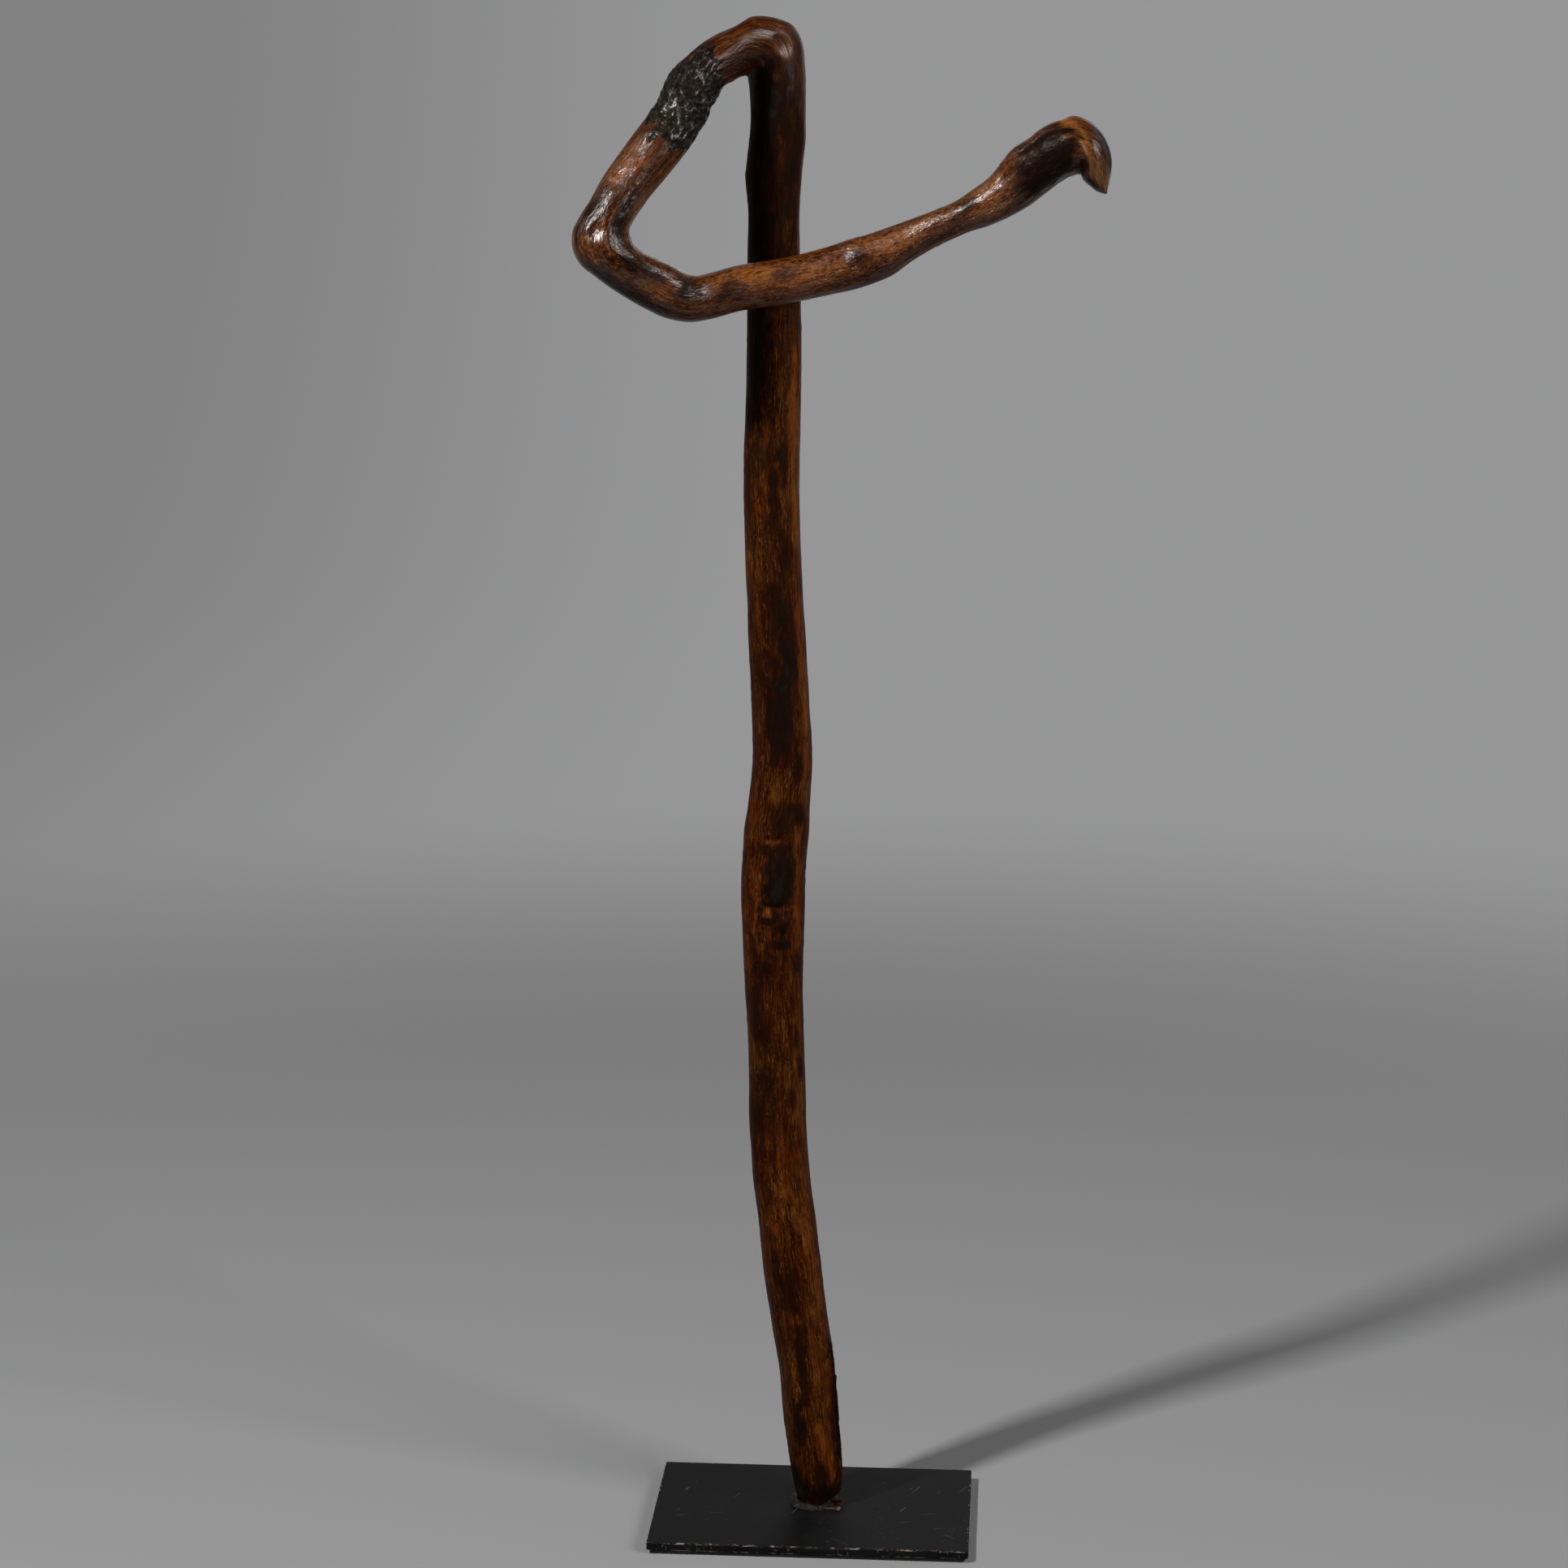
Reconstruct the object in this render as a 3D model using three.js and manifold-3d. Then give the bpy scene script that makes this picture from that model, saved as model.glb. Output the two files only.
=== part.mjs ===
// A walking staff cut from one bent branch. Its head loops over to the left, comes down and
// crosses in front of the shaft, and ends at the right in a small hoof. It stands on the pin
// of a black steel display base, with wax and two slivers of wood packed under its foot.
//
// Units are millimetres. +Z is up, +X is to the viewer's right and +Y is away from the viewer.
// The origin is the middle of the base's underside, on the surface that it stands on.

import * as THREE from 'three';
import { mergeVertices } from 'three/addons/utils/BufferGeometryUtils.js';
import Module from 'manifold-3d';

// Clearances
const seatGap = 0.3; // between pieces that rest on each other
const boreClearance = 0.3; // round the pin, inside the foot of the staff
const screwClearance = 0.3; // round the screw, in the plate and in the pin

// Base plate and the felt under it
const plateWidth = 200;
const plateDepth = 125;
const plateThickness = 5;
const plateCornerRadius = 1.2;
const plateEdgeBevel = 0.5;
const feltThickness = 2.5;
const feltInset = 2;
const feltCornerRadius = 2;

// Pin that the staff stands on, and the screw that holds it from below
const pinDiameter = 10;
const pinHeight = 64;
const pinChamfer = 1.2;
const pinSetBack = 8; // behind the middle of the plate
const pinWall = 1.9; // left round the tapped hole in the pin's lower end
const screwReach = 14; // into the pin
const screwTipChamfer = 0.8;
const screwHeadOverhang = 3; // the head beyond the shank, and the depth of its cone
const screwHeadEdge = 0.3; // height of the head's straight rim
const tappedHoleRoom = 3; // left above the screw's tip
const socketAcross = 3; // hexagon socket, across its corners
const socketDepth = 2;

// Packing under the foot
const waxBedThickness = 1.5; // under the middle of the foot
const waxRadius = 16.5;
const waxMoundHeight = 3.4;
const waxRimHeight = 0.5;
const waxShoulderWidth = 3.5; // from the rim in to the mound's full height
const waxOval = 0.06; // share by which the mound is longer than broad
const waxUnevenness = 0.03;
const rearWedgeLength = 15;
const rearWedgeBreadth = 4.5;
const rearWedgeThickEnd = 2.3;
const rearWedgeThinEnd = 0.8;
const rearWedgeTurn = -17; // degrees about Z
const rearWedgeStart = 6.5; // to the right of the pin's axis
const rearWedgeAhead = 1; // in front of the pin's axis
const rearWedgeLift = 1.2; // above the bottom of the packing
const frontWedgeLength = 16;
const frontWedgeBreadth = 4;
const frontWedgeThickEnd = 1.5;
const frontWedgeThinEnd = 0.6;
const frontWedgeTurn = -8;
const frontWedgeStart = 2.5;
const frontWedgeAhead = 11.5;

// The branch: lengths, and the usual breadth (seen from the front) and depth of each limb
const shaftLength = 885; // foot to the root of the top bend
const shaftBreadth = 35;
const shaftDepth = 34;
const loopBreadth = 30;
const loopDepth = 32;
const armBreadth = 26;
const armDepth = 26;
const hoofBreadth = 30;
const hoofDepth = 34;
const armGap = 15; // clear space where the arm passes in front of the shaft
const boreRoom = 4; // left above the pin, at the top of the bore
const footBevelAngle = 24; // degrees, the trimmed right-hand side of the foot
const footBevelStart = 3; // to the right of the pin's axis

// How finely round shapes are divided
const ringSpacing = 12;
const branchSides = 24;
const roundSides = 48;
const cornerSteps = 4;
const weldDistance = 1e-4; // vertices nearer than this are one
const cutOvershoot = 1; // how far a cutter runs past the face that it enters

// Heights
const plateUnderside = feltThickness + seatGap;
const plateTop = plateUnderside + plateThickness;
const packingFloor = plateTop + seatGap;
const footHeight = packingFloor + waxBedThickness + seatGap;

const wasm = await Module();
wasm.setup();

// Turns a closed geometry into a solid for cutting and joining.
function toSolid(geometry) {
  const bare = geometry.clone();
  bare.deleteAttribute('normal');
  bare.deleteAttribute('uv');
  const merged = mergeVertices(bare, weldDistance);
  const vertProperties = Float32Array.from(merged.attributes.position.array);
  const triVerts = Uint32Array.from(merged.index.array);
  return new wasm.Manifold(new wasm.Mesh({ numProp: 3, vertProperties, triVerts }));
}

// Turns a solid back into a geometry.
function toGeometry(solid) {
  const mesh = solid.getMesh();
  const geometry = new THREE.BufferGeometry();
  geometry.setAttribute('position', new THREE.BufferAttribute(mesh.vertProperties, 3));
  geometry.setIndex(new THREE.BufferAttribute(mesh.triVerts, 1));
  return geometry.toNonIndexed();
}

// A rectangle with rounded corners, centred on the origin.
function roundedRectangle(width, depth, radius) {
  const x = width / 2 - radius;
  const y = depth / 2 - radius;
  const shape = new THREE.Shape();
  shape.absarc(x, y, radius, 0, Math.PI / 2);
  shape.absarc(-x, y, radius, Math.PI / 2, Math.PI);
  shape.absarc(-x, -y, radius, Math.PI, Math.PI * 1.5);
  shape.absarc(x, -y, radius, Math.PI * 1.5, Math.PI * 2);
  return shape;
}

// Revolves [radius, height] points about the Z axis.
function revolve(profile, sides = roundSides) {
  const points = profile.map(([radius, height]) => new THREE.Vector2(radius, height));
  return new THREE.LatheGeometry(points, sides).rotateX(Math.PI / 2);
}

// Base plate: bevelled steel plate with a countersunk hole under the pin.

const screwHoleRadius = pinDiameter / 2 - pinWall;
const screwRadius = screwHoleRadius - screwClearance;
const screwHeadRadius = screwRadius + screwHeadOverhang;

function makePlate() {
  const shape = roundedRectangle(
    plateWidth - 2 * plateEdgeBevel,
    plateDepth - 2 * plateEdgeBevel,
    plateCornerRadius,
  );
  const slab = new THREE.ExtrudeGeometry(shape, {
    depth: plateThickness - 2 * plateEdgeBevel,
    bevelThickness: plateEdgeBevel,
    bevelSize: plateEdgeBevel,
    bevelSegments: 2,
    curveSegments: cornerSteps,
  });
  slab.translate(0, 0, plateUnderside + plateEdgeBevel);

  const mouth = screwHeadRadius + screwClearance;
  const coneTop = plateUnderside + screwHeadEdge + screwHeadOverhang;
  const below = plateUnderside - cutOvershoot;
  const above = plateTop + cutOvershoot;
  const hole = revolve([
    [0, below],
    [mouth, below],
    [mouth, plateUnderside + screwHeadEdge],
    [screwHoleRadius, coneTop],
    [screwHoleRadius, above],
    [0, above],
  ]);
  hole.translate(0, pinSetBack, 0);
  return toGeometry(toSolid(slab).subtract(toSolid(hole)));
}

// Felt: a thin sheet that hides the screw's head and sets the base softly down.

function makeFelt() {
  const shape = roundedRectangle(
    plateWidth - 2 * feltInset,
    plateDepth - 2 * feltInset,
    feltCornerRadius,
  );
  return new THREE.ExtrudeGeometry(shape, {
    depth: feltThickness,
    bevelEnabled: false,
    curveSegments: cornerSteps,
  });
}

// Pin: a round steel bar, tapped at its lower end, with a chamfered tip.

const tappedDepth = screwReach + tappedHoleRoom;

function makePin() {
  const radius = pinDiameter / 2;
  const pin = revolve([
    [0, tappedDepth],
    [screwHoleRadius, tappedDepth],
    [screwHoleRadius, 0],
    [radius, 0],
    [radius, pinHeight - pinChamfer],
    [radius - pinChamfer, pinHeight],
    [0, pinHeight],
  ]);
  return pin.translate(0, pinSetBack, packingFloor);
}

// Screw: countersunk, with a hexagon socket in its head.

function makeScrew() {
  const coneTop = screwHeadEdge + screwHeadOverhang;
  const tip = plateThickness + seatGap + screwReach;
  const body = revolve([
    [0, 0],
    [screwHeadRadius, 0],
    [screwHeadRadius, screwHeadEdge],
    [screwRadius, coneTop],
    [screwRadius, tip - screwTipChamfer],
    [screwRadius - screwTipChamfer, tip],
    [0, tip],
  ]);
  const socket = revolve([
    [0, -cutOvershoot],
    [socketAcross / 2, -cutOvershoot],
    [socketAcross / 2, socketDepth],
    [0, socketDepth],
  ], 6);
  const screw = toGeometry(toSolid(body).subtract(toSolid(socket)));
  return screw.translate(0, pinSetBack, plateUnderside);
}

// The branch is a row of sections. Each lies in a plane through the Y axis' direction: `lean`
// is how far its breadth is turned from level, in degrees, so that the sections fan out round
// the bends. The last two numbers are how much broader and deeper than usual the limb is.

const footStations = [
  // height above the foot, x, y, more breadth, more depth
  [-5, 3, 8, -13, -11],
  [0, 3, 8, -9.5, -7],
  [5, 3, 8, -6.5, -5],
  [14, 2.5, 8, -3.5, -2.5],
  [26, 1.5, 8, -1.5, -1.5],
  [42, 0, 8, -0.5, -0.5],
];

const shaftStations = [
  // share of the shaft's length, x, y, more breadth, more depth
  [0.066, -2, 8, 0, 0],
  [0.102, -4.5, 8, 0.5, 0],
  [0.14, -9.5, 7.5, 1, 0.5],
  [0.176, -13.5, 7, 1.5, 0.5],
  [0.212, -17, 7, 1, 0.5],
  [0.248, -20.5, 6.5, 0.5, 0],
  [0.284, -22.5, 6, 0.5, -0.5],
  [0.32, -23, 5.5, 0, -1],
  [0.356, -24, 5, 0, 0],
  [0.391, -25, 4, 1, 1],
  [0.426, -25, 3, 3, 2.5],
  [0.461, -25, 2, 4.5, 3.5],
  [0.496, -23, 2, 4.5, 3],
  [0.513, -21.5, 2, 2.5, 2],
  [0.547, -19.5, 2, 1.5, 1],
  [0.582, -20.5, 2.5, 0.5, 0.5],
  [0.65, -23.5, 3, -1, 0],
  [0.733, -26, 3.5, -1.5, -0.5],
  [0.815, -24.5, 4, -2.5, -1.5],
  [0.893, -24.5, 4.5, -4, -2.5],
  [0.918, -24.5, 4.5, -4.5, -3],
  [0.941, -24.5, 4.5, -2, -1.5],
  [0.965, -22.5, 4.5, -1.5, -1],
  [0.981, -22, 4, -2.5, -1],
];

// From here x and z are measured from the root of the top bend, where the shaft ends, and the
// third number is how far forward the branch lies: 1 where the arm crosses the shaft.
const rootX = -22.5;
const rootY = 4;

const loopStations = [
  // x, z, forward, lean, more breadth, more depth
  [0, 0, 0, 0, 3, 1],
  [-0.5, 7, 0, 15, 4, 2],
  [-1.5, 15, 0.02, 34, 8, 3],
  [-4, 19.5, 0.07, 47, 9.5, 3.5],
  [-8, 21.5, 0.16, 60, 8, 3],
  [-12, 22.5, 0.24, 71, 6, 2],
  [-16.5, 22, 0.32, 83, 4, 1],
  [-22, 19, 0.42, 95, -0.5, 0],
  [-28, 16, 0.52, 107, -1.5, -1],
  [-34.5, 12.5, 0.64, 116, -2.5, -1.5],
  [-41, 5.5, 0.77, 128, -1, 0],
  [-47, -2.5, 0.91, 142, 0.5, 1.5],
  [-51, -12.5, 1.02, 151, 1, 2],
  [-57, -22.5, 1.14, 151, 0.5, 1],
  [-64.5, -33, 1.26, 152, 0.5, 0],
  [-73.5, -45, 1.39, 152, -0.5, -1],
  [-81.5, -55.5, 1.5, 155, -1.5, -1],
  [-88.5, -67, 1.6, 159, -2.5, 0],
  [-93, -75, 1.66, 166, -0.5, 1],
  [-95, -81, 1.7, 176, 3, 2],
  [-94.5, -87, 1.71, 182, 5, 3],
  [-92, -92, 1.71, 187, 6.5, 3],
  [-88.5, -96, 1.7, 192, 6.5, 2],
  [-83.5, -99.5, 1.68, 198, 5, 1],
  [-77, -104, 1.64, 206, 3.5, 0],
  [-69.5, -108.5, 1.57, 217, 1.5, -1],
  [-61, -113.5, 1.48, 230, -0.5, -1],
  [-53, -117.5, 1.37, 244, -1.5, 0],
  [-44, -119.5, 1.26, 258, -2.5, -1],
];

const armStations = [
  // x, z, forward, lean, more breadth, more depth
  [-33.5, -118, 1.16, 270, 0.5, 2.5],
  [-18.5, -114, 1.07, 277, -0.5, 1],
  [-0.5, -111.5, 1, 281, 0.5, 0],
  [15.5, -108.5, 0.96, 282, 0.5, 0.5],
  [31.5, -104.5, 0.93, 283, 1, 1.5],
  [48, -100, 0.91, 286, 2.5, 2],
  [64.5, -94.5, 0.91, 290, 1, 1],
  [78.5, -87, 0.92, 294, -4, -3],
  [93, -80, 0.94, 296, -6.5, -5.5],
  [107.5, -73.5, 0.96, 295, -7, -6],
  [120, -68, 0.98, 296, -3.5, -3],
];

const hoofStations = [
  // x, z, forward, lean, more breadth, more depth
  [130.5, -62, 1, 301, -4.5, -7],
  [138.5, -55.5, 1.02, 307, -1, -4],
  [146.5, -47.5, 1.05, 308, 1.5, -2],
  [155.5, -41, 1.07, 303, 1, 0],
  [163.5, -35.5, 1.09, 295, 1.5, 2],
  [173, -32, 1.11, 279, 3, 4],
  [178.5, -33.5, 1.13, 260, 0, 3],
  [182.5, -37, 1.14, 243, -4.5, 1],
  [185, -42, 1.14, 224, -8.5, -2],
  [186.5, -47.5, 1.14, 210, -12, -6],
  [188, -52, 1.14, 206, -16.5, -11],
  [189.5, -56, 1.14, 206, -21.5, -17],
  [191, -58.5, 1.14, 206, -27, -23],
];

// The middle of the arm lies this far in front of the middle of the shaft where they cross.
const armForward = shaftDepth / 2 + armGap + armDepth / 2;
const rootZ = footHeight + shaftLength;

function branchStations() {
  const foot = footStations.map(([height, x, y, wider, deeper]) => ({
    middle: new THREE.Vector3(x, y, footHeight + height),
    section: new THREE.Vector3(0, shaftBreadth + wider, shaftDepth + deeper),
  }));
  const shaft = shaftStations.map(([share, x, y, wider, deeper]) => ({
    middle: new THREE.Vector3(x, y, footHeight + share * shaftLength),
    section: new THREE.Vector3(0, shaftBreadth + wider, shaftDepth + deeper),
  }));
  const limb = (stations, breadth, depth) => stations.map(([x, z, forward, lean, wider, deeper]) => ({
    middle: new THREE.Vector3(rootX + x, rootY - forward * armForward, rootZ + z),
    section: new THREE.Vector3(lean, breadth + wider, depth + deeper),
  }));
  return [
    ...foot,
    ...shaft,
    ...limb(loopStations, loopBreadth, loopDepth),
    ...limb(armStations, armBreadth, armDepth),
    ...limb(hoofStations, hoofBreadth, hoofDepth),
  ];
}

// The closed skin of the branch. `grow` pushes the skin outwards, for clearances.
function branchGeometry(grow = 0) {
  const stations = branchStations();
  const middles = new THREE.CatmullRomCurve3(stations.map((station) => station.middle));
  const sections = new THREE.CatmullRomCurve3(stations.map((station) => station.section));

  // Where the rings lie along the curves, from 0 to 1.
  const spans = stations.length - 1;
  const ringPlaces = [];
  for (let span = 0; span < spans; span++) {
    const length = stations[span].middle.distanceTo(stations[span + 1].middle);
    const steps = Math.max(1, Math.round(length / ringSpacing));
    for (let step = 0; step < steps; step++) {
      ringPlaces.push((span + step / steps) / spans);
    }
  }
  ringPlaces.push(1);

  const positions = [];
  for (const place of ringPlaces) {
    const middle = middles.getPoint(place);
    const section = sections.getPoint(place);
    const lean = THREE.MathUtils.degToRad(section.x);
    const across = section.y / 2 + grow;
    const deep = section.z / 2 + grow;
    for (let side = 0; side < branchSides; side++) {
      const turn = (side / branchSides) * Math.PI * 2;
      const reach = across * Math.cos(turn);
      positions.push(
        middle.x + reach * Math.cos(lean),
        middle.y + deep * Math.sin(turn),
        middle.z + reach * Math.sin(lean),
      );
    }
  }

  const footCentre = positions.length / 3;
  const tipCentre = footCentre + 1;
  positions.push(...middles.getPoint(0).toArray(), ...middles.getPoint(1).toArray());
  const lastRing = (ringPlaces.length - 1) * branchSides;
  const index = [];
  for (let side = 0; side < branchSides; side++) {
    const next = (side + 1) % branchSides;
    for (let low = 0; low < lastRing; low += branchSides) {
      const high = low + branchSides;
      index.push(low + side, low + next, high + next, low + side, high + next, high + side);
    }
    index.push(footCentre, next, side, tipCentre, lastRing + side, lastRing + next);
  }

  const geometry = new THREE.BufferGeometry();
  geometry.setAttribute('position', new THREE.Float32BufferAttribute(positions, 3));
  geometry.setIndex(index);
  return geometry;
}

// The branch with its foot trimmed: level underneath, and bevelled at the right.
function trimmedBranch(grow = 0) {
  const block = 4 * shaftBreadth;
  const underside = footHeight - grow;
  const level = new THREE.BoxGeometry(block, block, block);
  level.translate(0, pinSetBack, underside - block / 2);
  const bevel = new THREE.BoxGeometry(block, block, block);
  bevel.translate(block / 2, 0, -block / 2);
  bevel.rotateY(-THREE.MathUtils.degToRad(footBevelAngle));
  bevel.translate(footBevelStart, pinSetBack, underside);
  return toSolid(branchGeometry(grow)).subtract(toSolid(level)).subtract(toSolid(bevel));
}

// The space that the pin needs, from the floor up to a height.
function pinSpace(top) {
  const radius = pinDiameter / 2 + boreClearance;
  const space = revolve([[0, 0], [radius, 0], [radius, top], [0, top]]);
  return toSolid(space.translate(0, pinSetBack, 0));
}

function makeStaff() {
  const boreTop = packingFloor + pinHeight + boreRoom;
  return toGeometry(trimmedBranch().subtract(pinSpace(boreTop)));
}

// Wedges: slivers of wood pushed in beside the pin, under the foot's bevelled side. The thin
// end is on the left. A sliver is drawn from the side, then turned and set down.

function sliver(length, breadth, thinEnd, thickEnd, grow) {
  const outline = new THREE.Shape([
    new THREE.Vector2(-grow, -grow),
    new THREE.Vector2(length + grow, -grow),
    new THREE.Vector2(length + grow, thickEnd + grow),
    new THREE.Vector2(-grow, thinEnd + grow),
  ]);
  const wedge = new THREE.ExtrudeGeometry(outline, { depth: breadth + 2 * grow, bevelEnabled: false });
  return wedge.rotateX(Math.PI / 2).translate(0, breadth / 2 + grow, 0);
}

function rearWedge(grow = 0) {
  const wedge = sliver(rearWedgeLength, rearWedgeBreadth, rearWedgeThinEnd, rearWedgeThickEnd, grow);
  wedge.rotateZ(THREE.MathUtils.degToRad(rearWedgeTurn));
  return wedge.translate(rearWedgeStart, pinSetBack - rearWedgeAhead, packingFloor + rearWedgeLift);
}

function frontWedge(grow = 0) {
  const wedge = sliver(frontWedgeLength, frontWedgeBreadth, frontWedgeThinEnd, frontWedgeThickEnd, grow);
  wedge.rotateZ(THREE.MathUtils.degToRad(frontWedgeTurn));
  return wedge.translate(frontWedgeStart, pinSetBack - frontWedgeAhead, packingFloor);
}

// Wax: an uneven mound round the foot, cut clear of the foot, the pin and the wedges.

function makeWax() {
  const shoulder = waxRadius - waxShoulderWidth / 2;
  const crown = waxRadius - waxShoulderWidth;
  const mound = revolve([
    [0, 0],
    [waxRadius, 0],
    [waxRadius, waxRimHeight],
    [shoulder, (waxRimHeight + waxMoundHeight) / 2],
    [crown, waxMoundHeight],
    [0, waxMoundHeight],
  ]);
  const places = mound.attributes.position;
  for (let i = 0; i < places.count; i++) {
    const turn = Math.atan2(places.getY(i), places.getX(i));
    const swell = 1 - waxOval * Math.cos(2 * turn) + waxUnevenness * Math.sin(5 * turn + 1);
    places.setX(i, places.getX(i) * swell);
    places.setY(i, places.getY(i) * swell);
  }
  mound.translate(0, pinSetBack, packingFloor);

  const waxTop = packingFloor + waxMoundHeight;
  const wax = toSolid(mound)
    .subtract(trimmedBranch(seatGap))
    .subtract(pinSpace(waxTop + cutOvershoot))
    .subtract(toSolid(rearWedge(seatGap)))
    .subtract(toSolid(frontWedge(seatGap)));
  return toGeometry(wax);
}

// Finishes
function finish(color, roughness, metalness) {
  return new THREE.MeshStandardMaterial({ color, roughness, metalness });
}

const blackPaint = finish(0x1c1c1c, 0.55, 0.3);
const blackFelt = finish(0x101010, 0.95, 0);
const brightSteel = finish(0x8c8c8c, 0.35, 1);
const oldWax = finish(0x6d5a45, 0.6, 0);
const paleWood = finish(0x8a6038, 0.7, 0);
const polishedWood = finish(0x4a2610, 0.4, 0);

function piece(name, geometry, material) {
  const mesh = new THREE.Mesh(geometry, material);
  mesh.name = name;
  return mesh;
}

const base = new THREE.Group();
base.add(
  piece('base_plate', makePlate(), blackPaint),
  piece('felt_sheet', makeFelt(), blackFelt),
  piece('mount_pin', makePin(), brightSteel),
  piece('pin_screw', makeScrew(), brightSteel),
);

const packing = new THREE.Group();
packing.add(
  piece('wax_bead', makeWax(), oldWax),
  piece('wedge_rear', rearWedge(), paleWood),
  piece('wedge_front', frontWedge(), paleWood),
);

const staffOnBase = new THREE.Group();
staffOnBase.add(base, packing, piece('staff', makeStaff(), polishedWood));

export default staffOnBase;
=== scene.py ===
import math

import bmesh
import bpy
from mathutils import Matrix, Vector, noise


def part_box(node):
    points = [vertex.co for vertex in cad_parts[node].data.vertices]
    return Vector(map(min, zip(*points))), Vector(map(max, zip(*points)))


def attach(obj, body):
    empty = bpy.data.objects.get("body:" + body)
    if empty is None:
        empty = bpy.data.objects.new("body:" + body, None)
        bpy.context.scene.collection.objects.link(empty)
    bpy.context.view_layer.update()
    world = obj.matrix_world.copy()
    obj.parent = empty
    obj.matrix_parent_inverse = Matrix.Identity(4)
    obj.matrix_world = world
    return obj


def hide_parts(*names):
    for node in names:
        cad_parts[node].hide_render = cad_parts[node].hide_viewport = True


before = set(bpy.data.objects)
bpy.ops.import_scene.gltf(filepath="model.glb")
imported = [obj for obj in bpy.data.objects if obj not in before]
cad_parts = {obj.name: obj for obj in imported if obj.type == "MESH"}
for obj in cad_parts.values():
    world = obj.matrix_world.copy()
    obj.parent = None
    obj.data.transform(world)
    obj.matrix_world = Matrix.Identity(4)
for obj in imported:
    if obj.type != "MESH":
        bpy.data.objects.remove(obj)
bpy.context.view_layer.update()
print("stage: packed frame loaded")

mm = 0.001  # the tables below are in millimetres, the scene is in metres
scene = bpy.context.scene


# camera
# worked out from the four corners of the base plate

camera = {
    "place": (0.1226, -2.07395, 0.93828),
    "tilt": 77.5175,
    "turn": 3.887,
    "lens": 80.38,
    "sensor": 36,
    "nearest": 0.05,
    "farthest": 60,
}


def makeCamera():
    lens = bpy.data.cameras.new("viewCamera")
    lens.lens = camera["lens"]
    lens.sensor_width = camera["sensor"]
    lens.clip_start = camera["nearest"]
    lens.clip_end = camera["farthest"]
    eye = bpy.data.objects.new("viewCamera", lens)
    eye.location = camera["place"]
    eye.rotation_euler = (math.radians(camera["tilt"]), 0, math.radians(camera["turn"]))
    scene.collection.objects.link(eye)
    scene.camera = eye


makeCamera()
print("stage: camera set")


# shader nodes

class Signal:
    # what a shader node gives; plus, minus and times make the nodes that work out the sum
    def __init__(self, socket):
        self.socket = socket
        self.tree = socket.id_data

    def __add__(self, other):
        return maths("ADD", self, other)

    def __sub__(self, other):
        return maths("SUBTRACT", self, other)

    def __rsub__(self, other):
        return maths("SUBTRACT", other, self)

    def __mul__(self, other):
        return maths("MULTIPLY", self, other)

    def clamped(self):
        self.socket.node.use_clamp = True
        return self


def setInputs(node, inputs):
    # a signal is linked to its input, and anything else becomes the input's value
    for name, value in inputs.items():
        socket = node.inputs[name]
        if isinstance(value, Signal):
            value.tree.links.new(value.socket, socket)
        else:
            socket.default_value = (*value, 1) if socket.type == "RGBA" else value


def addNode(tree, kind, inputs, output=0, **settings):
    node = tree.nodes.new(kind)
    for name, value in settings.items():
        setattr(node, name, value)
    setInputs(node, inputs)
    return Signal(node.outputs[output])


def maths(operation, first, second):
    tree = first.tree if isinstance(first, Signal) else second.tree
    return addNode(tree, "ShaderNodeMath", {0: first, 1: second}, operation=operation)


def largest(signals):
    most = signals[0]
    for signal in signals[1:]:
        most = maths("MAXIMUM", most, signal)
    return most


def mixValue(share, first, second):
    return addNode(share.tree, "ShaderNodeMix", {0: share, 2: first, 3: second}, data_type="FLOAT")


def mixColour(share, first, second, blend="MIX"):
    return addNode(share.tree, "ShaderNodeMix", {0: share, 6: first, 7: second}, 2,
                   data_type="RGBA", blend_type=blend)


def between(value, low, high, first=0.0, last=1.0):
    # goes smoothly from first to last while the value goes from low to high
    ends = {"Value": value, "From Min": low, "From Max": high, "To Min": first, "To Max": last}
    return addNode(value.tree, "ShaderNodeMapRange", ends, "Result", interpolation_type="SMOOTHSTEP")


def stretched(place, scale, shift=(0, 0, 0), turn=0):
    inputs = {"Vector": place, "Location": shift, "Rotation": (0, 0, math.radians(turn)), "Scale": scale}
    return addNode(place.tree, "ShaderNodeMapping", inputs, "Vector")


def noisy(place, scale, detail=2, roughness=0.5, distortion=0.0, output="Fac"):
    inputs = {"Vector": place, "Scale": scale, "Detail": detail, "Roughness": roughness,
              "Distortion": distortion}
    return addNode(place.tree, "ShaderNodeTexNoise", inputs, output)


def axisOf(place, axis):
    return addNode(place.tree, "ShaderNodeSeparateXYZ", {0: place}, axis)


def colourRamp(value, stops):
    ramp = addNode(value.tree, "ShaderNodeValToRGB", {"Fac": value}, "Color")
    band = ramp.socket.node.color_ramp
    while len(band.elements) < len(stops):
        band.elements.new(0.5)
    for element, (position, colour) in zip(band.elements, stops):
        element.position = position
        element.color = (*colour, 1)
    return ramp


def bumps(height, distance):
    inputs = {"Strength": 1.0, "Distance": distance, "Height": height}
    return addNode(height.tree, "ShaderNodeBump", inputs, "Normal")


def painted(tree, name, output="Fac"):
    return addNode(tree, "ShaderNodeAttribute", {}, output, attribute_name=name)


def newMaterial(name, attribute=None):
    # gives the place that patterns read, too: the object's own, or one kept on the mesh
    material = bpy.data.materials.new(name)
    material.use_nodes = True
    tree = material.node_tree
    if attribute:
        place = painted(tree, attribute, "Vector")
    else:
        place = addNode(tree, "ShaderNodeTexCoord", {}, "Object")
    return material, tree.nodes["Principled BSDF"], place


# meshes

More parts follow.
